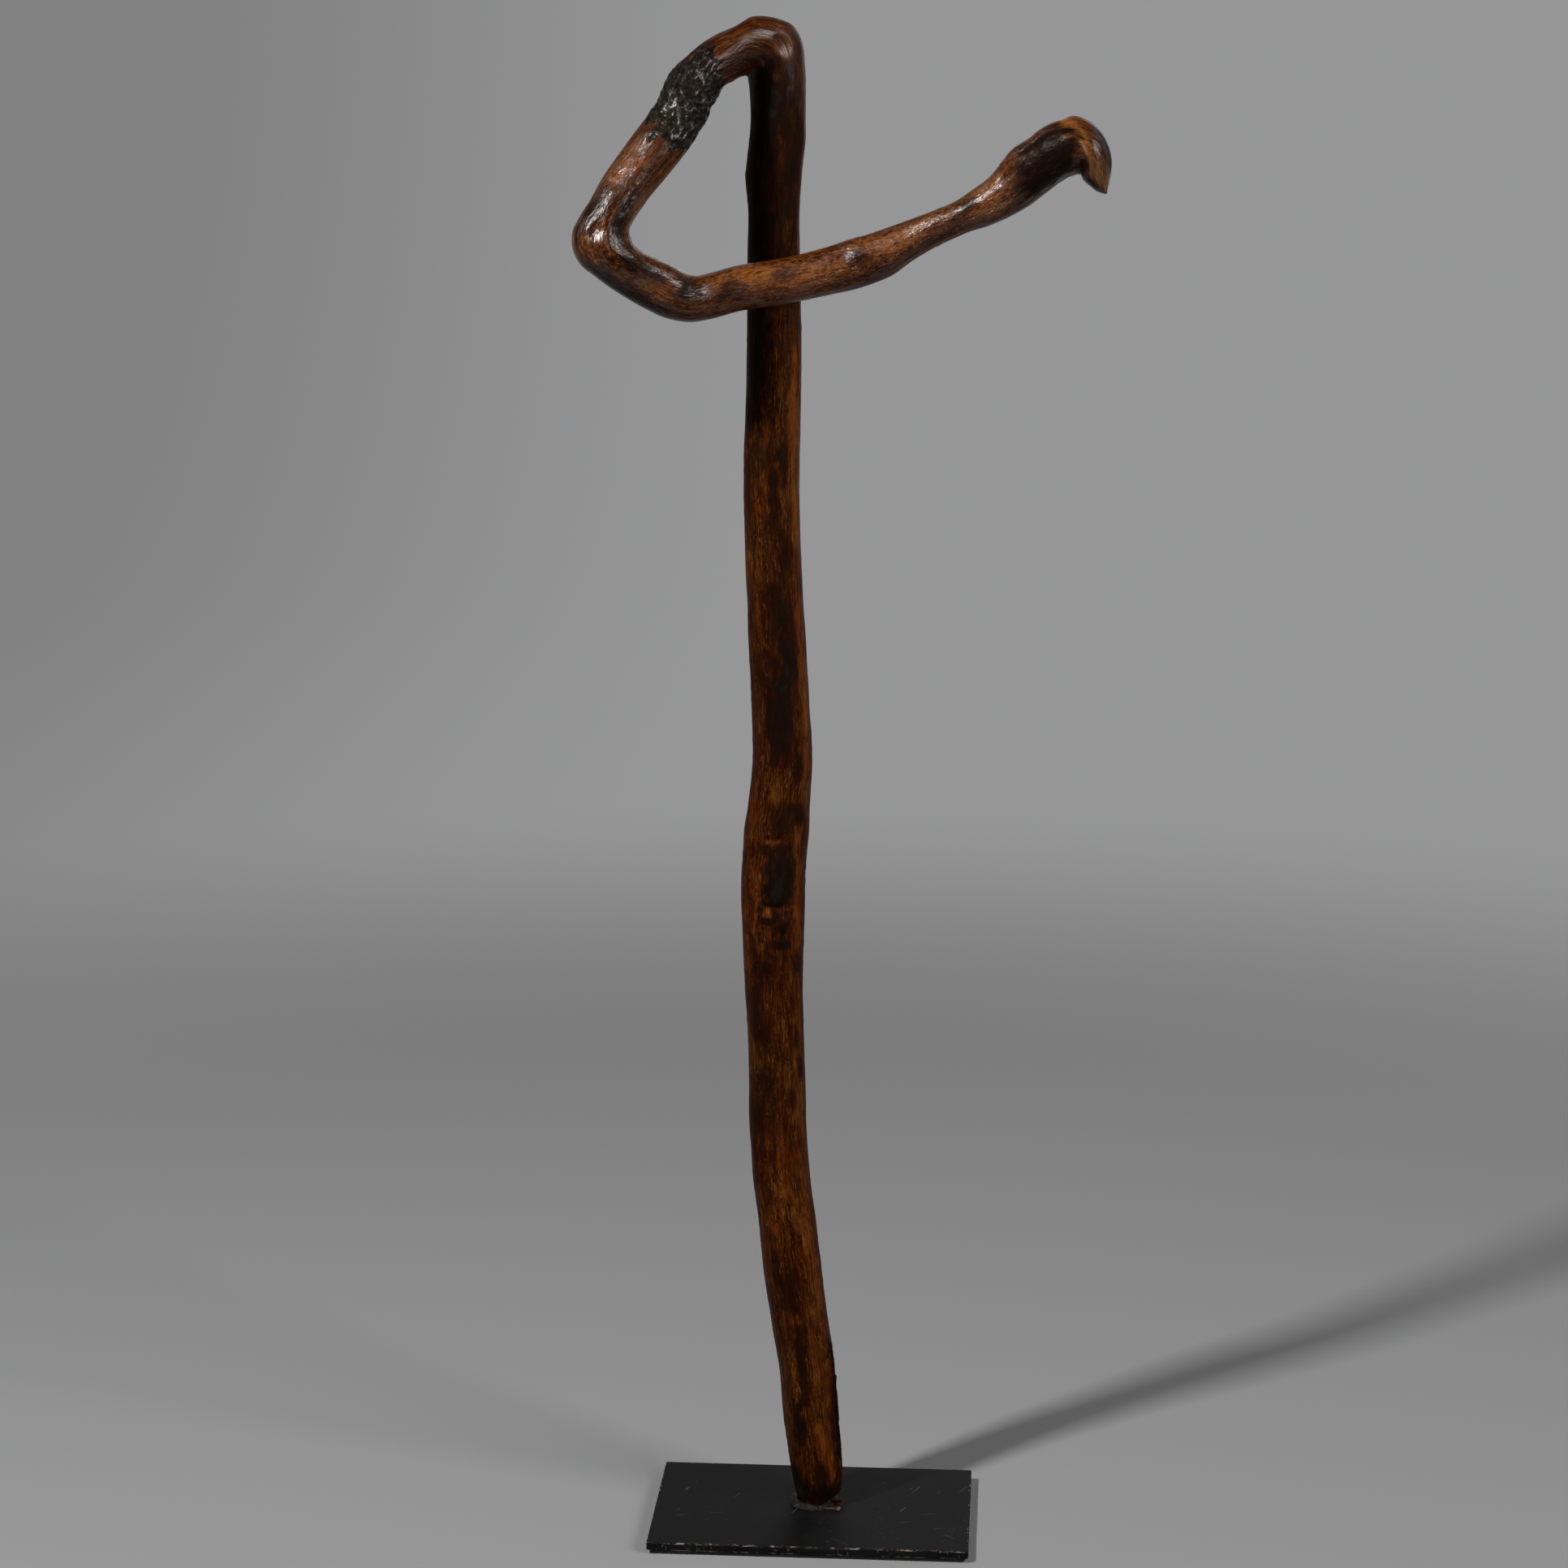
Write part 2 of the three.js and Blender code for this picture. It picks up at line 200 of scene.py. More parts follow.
def smoothStep(low, high, value):
    share = min(1, max(0, (value - low) / (high - low)))
    return share * share * (3 - 2 * share)


def noiseAt(x, y, z):
    return noise.noise(Vector((x, y, z)))


def edgeReach(edge, axis):
    return abs(edge.verts[0].co[axis] - edge.verts[1].co[axis])


def longEdges(shape, axis, least):
    return [edge for edge in shape.edges if edgeReach(edge, axis) > least]


def makeMesh(name, shape):
    mesh = bpy.data.meshes.new(name)
    shape.to_mesh(mesh)
    shape.free()
    return mesh


def addObject(name, data):
    made = bpy.data.objects.new(name, data)
    scene.collection.objects.link(made)
    return made


def addPiece(name, shape, body, slotName, *nodes):
    piece = addObject(name, makeMesh(name, shape))
    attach(piece, body)
    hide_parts(*nodes)
    return piece


def dressPiece(piece, material, sharpAngle=None):
    mesh = piece.data
    mesh.materials.clear()
    mesh.materials.append(material)
    mesh.shade_smooth()
    if sharpAngle:
        mesh.set_sharp_from_angle(angle=math.radians(sharpAngle))


def moveVerts(moves):
    for vert, step in moves.items():
        vert.co += step


def toMetres(shape):
    bmesh.ops.scale(shape, verts=shape.verts[:], vec=(mm, mm, mm))


def applyModifiers(piece):
    # the piece's own mesh becomes the final one
    graph = bpy.context.evaluated_depsgraph_get()
    mesh = bpy.data.meshes.new_from_object(piece.evaluated_get(graph), depsgraph=graph)
    piece.modifiers.clear()
    piece.data = mesh


def cutAway(piece, cutter):
    # cuts the solid in bmesh `cutter` out of the piece
    tool = addObject("cutter", makeMesh("cutter", cutter))
    cut = piece.modifiers.new("cut", "BOOLEAN")
    cut.operation = "DIFFERENCE"
    cut.solver = "EXACT"
    cut.object = tool
    applyModifiers(piece)
    mesh = tool.data
    bpy.data.objects.remove(tool)
    bpy.data.meshes.remove(mesh)


def keepInside(shape, node, rim=0.012):
    # eases in whatever stands outside the node's own box, over a rim a few millimetres deep
    low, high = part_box(node)
    for axis in range(3):
        lowest = min(vert.co[axis] for vert in shape.verts)
        highest = max(vert.co[axis] for vert in shape.verts)
        under, over = max(0, low[axis] - lowest), max(0, highest - high[axis])
        for vert in shape.verts:
            value = vert.co[axis]
            if under > 0:
                value += under * smoothStep(lowest + rim, lowest, value)
            if over > 0:
                value -= over * smoothStep(highest - rim, highest, value)
            vert.co[axis] = value


def spunSolid(profile, steps, centre):
    # turns (radius, height) points round the upright axis through `centre`
    turned = bmesh.new()
    verts = [turned.verts.new((radius, 0, height)) for radius, height in profile]
    for low, high in zip(verts, verts[1:]):
        turned.edges.new((low, high))
    bmesh.ops.spin(turned, geom=turned.verts[:] + turned.edges[:], cent=(0, 0, 0), axis=(0, 0, 1),
                   angle=math.tau, steps=steps, use_merge=True)
    bmesh.ops.remove_doubles(turned, verts=turned.verts[:], dist=1e-6)
    bmesh.ops.recalc_face_normals(turned, faces=turned.faces[:])
    bmesh.ops.translate(turned, verts=turned.verts[:], vec=centre)
    return turned


# staff
# the same row of sections as the solid's: middle, lean, breadth and depth

staff = {
    "sides": 92,
    "rings": 1000,
    "footHeight": 9.9,
    "shaftLength": 885,
    "shaftSize": (35, 34),
    "loopSize": (30, 32),
    "armSize": (26, 26),
    "hoofSize": (30, 34),
    "armForward": 45,
    "root": (-22.5, 4),
    "pinPlace": (0, 8),
    "boreRadius": 5.3,
    "boreTop": 76.1,
    "bevelStart": 3,
    "bevelAngle": 24,
    "grainRadius": 17,
    "lumps": 0.42,
    "facets": 0.16,
    "pits": 0.3,
    "crust": 1.45,
    "hoofStart": 1372,  # measured along the staff, as splitEnd is
    "splitEnd": 130,
    "tipDirection": (0.55, 0, -0.83),
}

footStations = [
    # height above the foot, x, y, more breadth, more depth
    (-5, 3, 8, -13, -11),
    (0, 3, 8, -9.5, -7),
    (5, 3, 8, -6.5, -5),
    (14, 2.5, 8, -3.5, -2.5),
    (26, 1.5, 8, -1.5, -1.5),
    (42, 0, 8, -0.5, -0.5),
]

shaftStations = [
    # share of the shaft's length, x, y, more breadth, more depth
    (0.066, -2, 8, 0, 0),
    (0.102, -4.5, 8, 0.5, 0),
    (0.14, -9.5, 7.5, 1, 0.5),
    (0.176, -13.5, 7, 1.5, 0.5),
    (0.212, -17, 7, 1, 0.5),
    (0.248, -20.5, 6.5, 0.5, 0),
    (0.284, -22.5, 6, 0.5, -0.5),
    (0.32, -23, 5.5, 0, -1),
    (0.356, -24, 5, 0, 0),
    (0.391, -25, 4, 1, 1),
    (0.426, -25, 3, 3, 2.5),
    (0.461, -25, 2, 4.5, 3.5),
    (0.496, -23, 2, 4.5, 3),
    (0.513, -21.5, 2, 2.5, 2),
    (0.547, -19.5, 2, 1.5, 1),
    (0.582, -20.5, 2.5, 0.5, 0.5),
    (0.65, -23.5, 3, -1, 0),
    (0.733, -26, 3.5, -1.5, -0.5),
    (0.815, -24.5, 4, -2.5, -1.5),
    (0.893, -24.5, 4.5, -4, -2.5),
    (0.918, -24.5, 4.5, -4.5, -3),
    (0.941, -24.5, 4.5, -2, -1.5),
    (0.965, -22.5, 4.5, -1.5, -1),
    (0.981, -22, 4, -2.5, -1),
]

loopStations = [
    # from the shaft's upper end: x, z, forward, lean, more breadth, more depth
    (0, 0, 0, 0, 3, 1),
    (-0.5, 7, 0, 15, 4, 2),
    (-1.5, 15, 0.02, 34, 8, 3),
    (-4, 19.5, 0.07, 47, 9.5, 3.5),
    (-8, 21.5, 0.16, 60, 8, 3),
    (-12, 22.5, 0.24, 71, 6, 2),
    (-16.5, 22, 0.32, 83, 4, 1),
    (-22, 19, 0.42, 95, -0.5, 0),
    (-28, 16, 0.52, 107, -1.5, -1),
    (-34.5, 12.5, 0.64, 116, -2.5, -1.5),
    (-41, 5.5, 0.77, 128, -1, 0),
    (-47, -2.5, 0.91, 142, 0.5, 1.5),
    (-51, -12.5, 1.02, 151, 1, 2),
    (-57, -22.5, 1.14, 151, 0.5, 1),
    (-64.5, -33, 1.26, 152, 0.5, 0),
    (-73.5, -45, 1.39, 152, -0.5, -1),
    (-81.5, -55.5, 1.5, 155, -1.5, -1),
    (-88.5, -67, 1.6, 159, -2.5, 0),
    (-93, -75, 1.66, 166, -0.5, 1),
    (-95, -81, 1.7, 176, 3, 2),
    (-94.5, -87, 1.71, 182, 5, 3),
    (-92, -92, 1.71, 187, 6.5, 3),
    (-88.5, -96, 1.7, 192, 6.5, 2),
    (-83.5, -99.5, 1.68, 198, 5, 1),
    (-77, -104, 1.64, 206, 3.5, 0),
    (-69.5, -108.5, 1.57, 217, 1.5, -1),
    (-61, -113.5, 1.48, 230, -0.5, -1),
    (-53, -117.5, 1.37, 244, -1.5, 0),
    (-44, -119.5, 1.26, 258, -2.5, -1),
]

armStations = [
    # x, z, forward, lean, more breadth, more depth
    (-33.5, -118, 1.16, 270, 0.5, 2.5),
    (-18.5, -114, 1.07, 277, -0.5, 1),
    (-0.5, -111.5, 1, 281, 0.5, 0),
    (15.5, -108.5, 0.96, 282, 0.5, 0.5),
    (31.5, -104.5, 0.93, 283, 1, 1.5),
    (48, -100, 0.91, 286, 2.5, 2),
    (64.5, -94.5, 0.91, 290, 1, 1),
    (78.5, -87, 0.92, 294, -4, -3),
    (93, -80, 0.94, 296, -6.5, -5.5),
    (107.5, -73.5, 0.96, 295, -7, -6),
    (120, -68, 0.98, 296, -3.5, -3),
]

hoofStations = [
    # x, z, forward, lean, more breadth, more depth
    (130.5, -62, 1, 301, -4.5, -7),
    (138.5, -55.5, 1.02, 307, -1, -4),
    (146.5, -47.5, 1.05, 308, 1.5, -2),
    (155.5, -41, 1.07, 303, 1, 0),
    (163.5, -35.5, 1.09, 295, 1.5, 2),
    (173, -32, 1.11, 279, 3, 4),
    (178.5, -33.5, 1.13, 260, 0, 3),
    (182.5, -37, 1.14, 243, -4.5, 1),
    (185, -42, 1.14, 224, -8.5, -2),
    (186.5, -47.5, 1.14, 210, -12, -6),
    (188, -52, 1.14, 206, -16.5, -11),
    (189.5, -56, 1.14, 206, -21.5, -17),
    (191, -58.5, 1.14, 206, -27, -23),
]

# Places on the staff are given by how far they lie along it from the foot, and by the turn
# round it in degrees: 270 faces the viewer, and 0 is the shaft's right and the loop's outer side.
staffSpots = {
    # along, turn, half length, half width, then the height or the strength
    "relief": [
        # knot
        (443, 270, 2.2, 9, 1.3), (421, 283, 15, 9, -1.1), (401, 290, 2, 9, 1.2), (399, 262, 4, 4, 1.9),
        (390, 288, 5, 6, -1.6), (392, 276, 2.5, 2.5, 0.7), (378, 290, 3, 6, -0.7), (458, 320, 5, 4, -0.6),
        (363, 258, 4, 5, -0.4),
        # blisters of the crust
        (975, 296, 5, 4, 1.0), (996, 294, 6, 4, 1.1), (978, 236, 5, 4, 1.0), (990, 236, 6, 4, 1.0),
        # down the inner side of the loop's leg
        (1054, 238, 10, 2.5, 0.6), (1059, 238, 9, 4, -0.8),
        # low swellings down the front of the leg, and a dent
        (994, 312, 5, 8, 0.8), (1002, 308, 5.5, 8, 0.9), (1020, 302, 6, 8, 1.0), (1028, 300, 6, 8, 1.1),
        (1037, 306, 6, 8, 1.0), (1045, 304, 6, 8, 0.8), (1030, 270, 8, 4, -0.4),
        # elbow, and the start of the arm
        (1076, 277, 5, 5, 1.7), (1086, 256, 6, 5, -0.7), (1095, 290, 7, 5, -0.5), (1121, 262, 8, 6, 0.5),
        (1125, 274, 10, 9, 2.2), (1138, 240, 5, 8, -0.7), (1147, 232, 5, 8, 0.4),
        # arm
        (1240, 243, 6, 6, 0.5), (1250, 254, 8, 6, -0.3), (1319, 242, 8, 4, -0.5),
        # top bend
        (910, 300, 4.5, 4.5, 1.5),
        # lower end of the hoof's leg
        (1347, 229, 7, 5, 0.9),
        # hollow front of the hoof, under a sharp upper edge, and its neck
        (1374, 275, 17, 14, -2.0), (1371, 222, 15, 3, 0.9), (1300, 252, 16, 8, -0.5),
    ],
    "sootAndShade": [
        # shaft, from the middle upwards, with one on the hoof; the one at 676 paints the lower end of the
        # loop's shadow
        (678, 298, 20, 4, 0.8), (676, 252, 14, 11, 0.5), (556, 235, 22, 11, 0.45), (1407, 188, 12, 6, 0.6),
        (654, 278, 26, 3, 0.6), (619, 300, 16, 4, 0.7), (591, 270, 14, 11, 0.5), (600, 275, 90, 8, 0.35),
        (500, 270, 60, 8, 0.25), (563, 294, 26, 8, 0.7), (638, 220, 50, 6, 0.5), (548, 300, 14, 6, 0.7),
        (515, 266, 26, 10, 0.9), (530, 282, 14, 8, 0.5), (488, 305, 12, 4, 0.9),
        # knot; the small spots round 399, 262 paint the shaded outline of the knot's bump
        (459, 320, 8, 5, 0.9), (455, 284, 13, 10, 0.7), (419, 284, 20, 11, 1.7), (438, 276, 5, 12, 0.5),
        (411, 284, 9, 8, 0.6), (392, 260, 2.5, 6, 1.1), (399, 249, 5, 2.5, 0.8), (404, 262, 2, 5, 0.7),
        (390, 288, 6, 7, 0.9), (378, 290, 4, 7, 1.1), (363, 260, 5, 5, 0.9), (363, 326, 9, 5, 0.7),
        # shaft below the knot, and foot
        (329, 230, 22, 5, 0.9), (319, 254, 14, 4, 0.7), (314, 322, 10, 4, 0.8), (295, 332, 9, 4, 1.0),
        (288, 250, 12, 7, 0.8), (265, 230, 12, 5, 0.8), (277, 304, 9, 4, 0.7), (188, 232, 5, 5, 0.5),
        (172, 242, 10, 3, 0.7), (152, 262, 18, 7, 0.6), (118, 272, 20, 6, 0.6), (61, 250, 14, 5, 1.3),
        (92, 268, 34, 4, 0.8), (100, 226, 70, 6, 0.4), (18, 214, 18, 9, 1.2), (26, 284, 11, 5, 0.9),
        (14, 262, 7, 30, 0.8), (10, 300, 8, 14, 0.7),
        # stained wood round the splits, and one patch at the side
        (60, 338, 52, 4, 0.7), (512, 0, 20, 4, 0.8),
        # hoof: its leg and its hollow side are nearly black, from soot and from painted shade where they
        # face away from the light
        (1368, 270, 17, 20, 1.15), (1382, 290, 13, 13, 1.0), (1356, 304, 14, 10, 0.9),
        (1377, 250, 15, 8, 0.7), (1376, 232, 8, 10, 0.9), (1398, 318, 12, 9, 1.1), (1416, 312, 7, 5, 0.9),
        (1406, 214, 14, 9, 0.75),
        # arm, elbow and leg
        (1249, 254, 9, 5, 0.85), (1319, 242, 7, 3, 0.9), (1143, 236, 12, 9, 0.7), (1172, 260, 12, 8, 0.6),
        (1151, 262, 9, 7, 0.4), (1205, 250, 9, 6, 0.6), (1060, 238, 20, 5, 0.8), (1062, 304, 16, 9, 0.75),
        (1100, 250, 10, 8, 0.6), (1110, 320, 40, 8, 0.7), (1080, 232, 16, 7, 0.7), (1108, 240, 18, 7, 0.7),
        # top bend, and painted shadow that the loop, arm and hoof throw on the upper shaft
        (935, 230, 14, 9, 0.5), (885, 250, 34, 12, 0.7), (882, 272, 18, 8, 0.6), (728, 262, 26, 10, 0.55),
        (850, 268, 70, 16, 0.5), (860, 310, 50, 12, 0.4), (830, 330, 60, 7, 0.3), (795, 250, 50, 12, 0.3),
        (800, 222, 110, 11, 0.6),
        # sides and back, which the photograph doesn't show
        (60, 120, 26, 8, 1.0), (140, 60, 30, 7, 0.8), (210, 130, 24, 9, 0.8), (300, 95, 34, 10, 0.9),
        (380, 50, 20, 8, 0.8), (430, 110, 18, 10, 1.1), (520, 70, 40, 9, 0.8), (600, 140, 26, 8, 0.8),
        (690, 90, 40, 11, 0.9), (780, 60, 30, 9, 0.8), (850, 120, 26, 9, 0.9), (1040, 100, 24, 9, 0.8),
        (1090, 110, 18, 9, 0.8), (1160, 80, 26, 8, 0.7), (1240, 100, 24, 7, 0.8), (1366, 100, 20, 16, 1.2),
    ],
    "wearAndLight": [
        # elbow and arm
        (1121, 268, 8, 5, 1.4), (1113, 262, 14, 8, 0.8), (1086, 324, 9, 8, 1.2), (1085, 300, 8, 8, 0.8),
        (1076, 260, 9, 7, 0.9), (1128, 280, 10, 6, 0.7), (1185, 226, 22, 8, 1.1), (1195, 252, 18, 8, 0.9),
        (1222, 268, 20, 7, 0.9), (1262, 236, 26, 7, 0.9), (1290, 240, 22, 6, 0.9), (1275, 270, 22, 7, 0.6),
        (1334, 236, 14, 8, 1.0), (1330, 270, 18, 9, 0.5),
        # hoof, leg and top bend; those down the front of the leg and on the top bend paint highlights, paler
        # where the light glints, as well as polish
        (1412, 258, 7, 7, 0.8), (1003, 308, 9, 7, 0.8), (1022, 302, 12, 8, 0.9), (1041, 306, 11, 8, 1.0),
        (912, 290, 14, 12, 0.6), (908, 298, 6, 6, 2.4), (925, 250, 14, 9, 0.4),
        # knot, and the shaft round it; the spot at 399, 262 paints light on the top of the knot's bump, and
        # those at 452 and 386 paint light on sides of the shaft that lie in shade
        (399, 262, 4, 4, 1.6), (392, 276, 4, 4, 1.2), (401, 292, 2, 7, 1.0), (443, 268, 2, 8, 0.7),
        (410, 240, 34, 7, 0.6), (428, 312, 30, 5, 0.7), (475, 268, 16, 9, 0.6), (350, 284, 40, 9, 0.4),
        (452, 212, 22, 8, 0.7), (386, 320, 16, 7, 0.9),
        # upper shaft, lower shaft and foot; the thin one at 862 paints a pale sheen down the upper shaft,
        # and the one at
        # 28 a glint on the foot
        (862, 284, 30, 3, 1.1), (240, 280, 40, 10, 0.6), (200, 300, 40, 9, 0.2), (160, 300, 40, 7, 0.5),
        (186, 250, 16, 8, 0.6), (84, 300, 40, 7, 0.9), (45, 300, 22, 7, 0.9), (28, 311, 12, 3, 1.0),
        # painted light along the shaft's edges, where the lamps fall on them, most of all on the right one
        (400, 326, 300, 6, 0.8), (640, 330, 120, 6, 0.8), (700, 318, 30, 6, 1.0), (200, 318, 120, 6, 0.5),
        (640, 226, 60, 7, 0.3),
        # sides and back
        (1300, 90, 40, 8, 0.5), (1086, 60, 12, 10, 0.8), (910, 60, 20, 12, 0.7), (420, 170, 40, 9, 0.5),
        (180, 160, 40, 9, 0.4), (1400, 60, 10, 14, 0.8),
    ],
    "rust": [
        (1029, 278, 5, 3, 1.2), (1036, 274, 6, 2, 0.6),
    ],
    "crust": [
        (982, 270, 27, 34, 1.6), (966, 250, 14, 20, 1.2), (998, 236, 13, 20, 1.3), (985, 330, 15, 12, 1.2),
        (984, 200, 17, 12, 1.0), (1004, 222, 8, 9, 0.8), (982, 150, 16, 16, 0.8), (980, 60, 12, 14, 0.5),
        (1056, 238, 12, 4, 0.35),
    ],
}
maskLimits = {"sootAndShade": 2.1, "wearAndLight": 1.6, "rust": 1.4}

# along, turn: the worn lip runs over the top of the hoof and down both of its sides
hoofSide = [(1418, 88), (1411, 79), (1404, 79), (1398, 88),
            (1394, 106), (1390, 134), (1387, 162), (1386, 180)]
hoofRidge = hoofSide + [(along, 360 - turn) for along, turn in reversed(hoofSide[:-1])]

# along, turn: two splits beside each other at the right of the foot
splitLines = [
    [(22, 322), (35, 325), (61, 333), (88, 338), (112, 343)],
    [(28, 336), (45, 339), (66, 344), (90, 347)],
]


def curvePoint(points, share):
    # a smooth curve through the points, tightened where they lie close together
    spans = len(points) - 1
    span = min(spans - 1, int(share * spans))
    part = share * spans - span
    second, third = points[span], points[span + 1]
    first = points[span - 1] if span > 0 else second * 2 - third
    fourth = points[span + 2] if span + 2 <= spans else third * 2 - second
    before = math.sqrt((second - first).length)
    here = math.sqrt((third - second).length)
    after = math.sqrt((fourth - third).length)
    start = ((second - first) / before - (third - first) / (before + here) + (third - second) / here) * here
    end = ((third - second) / here - (fourth - second) / (here + after) + (fourth - third) / after) * here
    bend = (third - second) * 3 - start * 2 - end
    twist = (second - third) * 2 + start + end
    return second + start * part + bend * part ** 2 + twist * part ** 3


def staffStations():
    # the middles of the stations, and their lean, breadth and depth
    middles, sections = [], []
    foot, length = staff["footHeight"], staff["shaftLength"]
    breadth, depth = staff["shaftSize"]
    upright = footStations + [(share * length, *rest) for share, *rest in shaftStations]
    for height, x, y, wider, deeper in upright:
        middles.append(Vector((x, y, foot + height)))
        sections.append(Vector((0, breadth + wider, depth + deeper)))
    rootX, rootY = staff["root"]
    for stations, size in ((loopStations, "loopSize"), (armStations, "armSize"), (hoofStations, "hoofSize")):
        breadth, depth = staff[size]
        for x, z, forward, lean, wider, deeper in stations:
            middles.append(Vector((rootX + x, rootY - forward * staff["armForward"], foot + length + z)))
            sections.append(Vector((lean, breadth + wider, depth + deeper)))
    return middles, sections


def evenRings(count):
    # middle, lean, breadth and depth of rings that lie evenly along the staff
    middles, sections = staffStations()
    samples = 4 * count
    shares = [i / samples for i in range(samples + 1)]
    points = [curvePoint(middles, share) for share in shares]
    lengths = [0]
    for low, high in zip(points, points[1:]):
        lengths.append(lengths[-1] + (high - low).length)
    rings = []
    at = 0
    for ring in range(count):
        along = lengths[-1] * ring / (count - 1)
        while at < samples - 1 and lengths[at + 1] < along:
            at += 1
        part = (along - lengths[at]) / (lengths[at + 1] - lengths[at])
        share = shares[at] + part / samples
        rings.append((along, curvePoint(middles, share), curvePoint(sections, share)))
    return rings


def spotsNear(along, reach=1.7):
    return {name: [spot for spot in spots if abs(spot[0] - along) < reach * spot[2]]
            for name, spots in staffSpots.items()}


def skinDistance(turn, fromTurn, radius):
    # millimetres round the staff from one turn to another, the short way
    return math.radians((turn - fromTurn + 180) % 360 - 180) * radius


def spotSum(spots, along, turn, radius, ragged):
    total = 0
    for spotAlong, spotTurn, halfLength, halfWidth, strength in spots:
        across = skinDistance(turn, spotTurn, radius)
        distance = math.hypot((along - spotAlong) / halfLength, across / halfWidth) + ragged
        if distance < 1.4:
            total += strength * (1 - smoothStep(0.2, 1.4, distance))
    return total


def lineDistance(line, along, turn, radius):
    # millimetres from a line of (along, turn) points on the staff's skin
    nearest = 1e9
    for (alongA, turnA), (alongB, turnB) in zip(line, line[1:]):
        first = Vector((alongA, 0))
        last = Vector((alongB, math.radians(turnB - turnA) * radius))
        point = Vector((along, skinDistance(turn, turnA, radius)))
        step = last - first
        share = min(1, max(0, (point - first).dot(step) / step.length_squared))
        nearest = min(nearest, (point - first - step * share).length)
    return nearest


def naturalRelief(x, y, along):
    # millimetres that the branch's own unevenness adds, from a place on the straightened staff
    lumps = noiseAt(x / 15, y / 15, along / 34) + 0.5 * noiseAt(x / 7 + 9, y / 7, along / 15)
    flats = noiseAt(x / 4.2, y / 4.2 + 5, along / 46) + 0.6 * noiseAt(x / 2.4, y / 2.4 + 11, along / 26)
    pit = noiseAt(x / 2.6 + 31, y / 2.6, along / 6)
    return staff["lumps"] * lumps + staff["facets"] * flats - staff["pits"] * max(0, pit - 0.38) * 2.2


def crustRelief(x, y, along):
    # burnt, blistered resin: cells a few millimetres across, with smaller grit on them
    near, further = noise.voronoi(Vector((x / 4.6, y / 4.6, along / 5.2)))[0][:2]
    blister = 0.55 - near + 0.35 * (further - near)
    grit = noiseAt(x / 1.5, y / 1.5, along / 1.7)
    broad = noiseAt(x / 9 + 3, y / 9, along / 11)
    return staff["crust"] * (0.75 * blister + 0.22 * grit + 0.55 * broad)


def hoofLip(along, turn, radius, ragged):
    # height and colour of the worn lip
    away = lineDistance(hoofRidge, along, turn, radius) + 1.6 * ragged
    widened = 2.4 * smoothStep(1396, 1412, along)
    return math.exp(-((away / 2.6) ** 2)) - 0.3, 1 - smoothStep(1.6 + widened, 5.2 + widened, away)


def splitShare(x, y, along, turn, radius):
    share = 0
    for line in splitLines:
        away = lineDistance(line, along, turn, radius) + 0.35 * noiseAt(x, 3, along / 7)
        share = max(share, 1 - smoothStep(0.35, 1.2, away))
    return share


def makeStaffSkin():
    # a straight tube is cut into rings, then bent along the sections
    tube = bmesh.new()
    bmesh.ops.create_cone(tube, cap_ends=False, segments=staff["sides"], radius1=1, radius2=1, depth=1)
    count = staff["rings"]
    bmesh.ops.subdivide_edges(tube, edges=longEdges(tube, 2, 0.5), cuts=count - 2, use_grid_fill=True)
    rings = evenRings(count)
    nearSpots = [spotsNear(along) for along, middle, section in rings]
    grainPlace = tube.verts.layers.float_vector.new("grainPlace")
    masks = {name: tube.verts.layers.float.new(name) for name in (*maskLimits, "crust", "split", "ochre")}
    heights = {}
    for vert in tube.verts:
        ring = round((vert.co.z + 0.5) * (count - 1))
        along, middle, section = rings[ring]
        spots = nearSpots[ring]
        around = math.atan2(vert.co.y, vert.co.x)
        turn = math.degrees(around)
        radius = (section.y + section.z) / 4
        x, y = Vector((math.cos(around), math.sin(around))) * staff["grainRadius"]
        ragged = 0.45 * noiseAt(x / 4, y / 4, along / 9) + 0.3 * noiseAt(x / 1.6, y / 1.6, along / 5)

        height = naturalRelief(x, y, along) + spotSum(spots["relief"], along, turn, radius, 0)
        crust = min(1, spotSum(spots["crust"], along, turn, radius, ragged))
        if crust > 0:
            height += crust * (0.15 + crustRelief(x, y, along))
        lip, ochre, split = 0, 0, 0
        if along > staff["hoofStart"]:
            lip, ochre = hoofLip(along, turn, radius, ragged)
        if along < staff["splitEnd"]:
            split = splitShare(x, y, along, turn, radius)
        height += lip - 1.5 * split
        # the foot stays close to the solid where it meets the wax, and the tip stays sharp
        height *= 0.15 + 0.85 * smoothStep(8, 24, along)
        heights[vert] = height * (1 - 0.7 * smoothStep(1408, 1422, along))

        vert[grainPlace] = (x * mm, y * mm, along * mm)
        values = {"crust": crust, "split": split, "ochre": ochre}
        for name, most in maskLimits.items():
            values[name] = min(most, spotSum(spots[name], along, turn, radius, ragged))
        for name, value in values.items():
            vert[masks[name]] = value

        lean = math.radians(section.x)
        reach = section.y / 2 * math.cos(around)
        deep = section.z / 2 * math.sin(around)
        vert.co = middle + Vector((reach * math.cos(lean), deep, reach * math.sin(lean)))
    bmesh.ops.recalc_face_normals(tube, faces=tube.faces[:])
    tube.normal_update()
    moveVerts({vert: vert.normal * height for vert, height in heights.items()})
    return tube


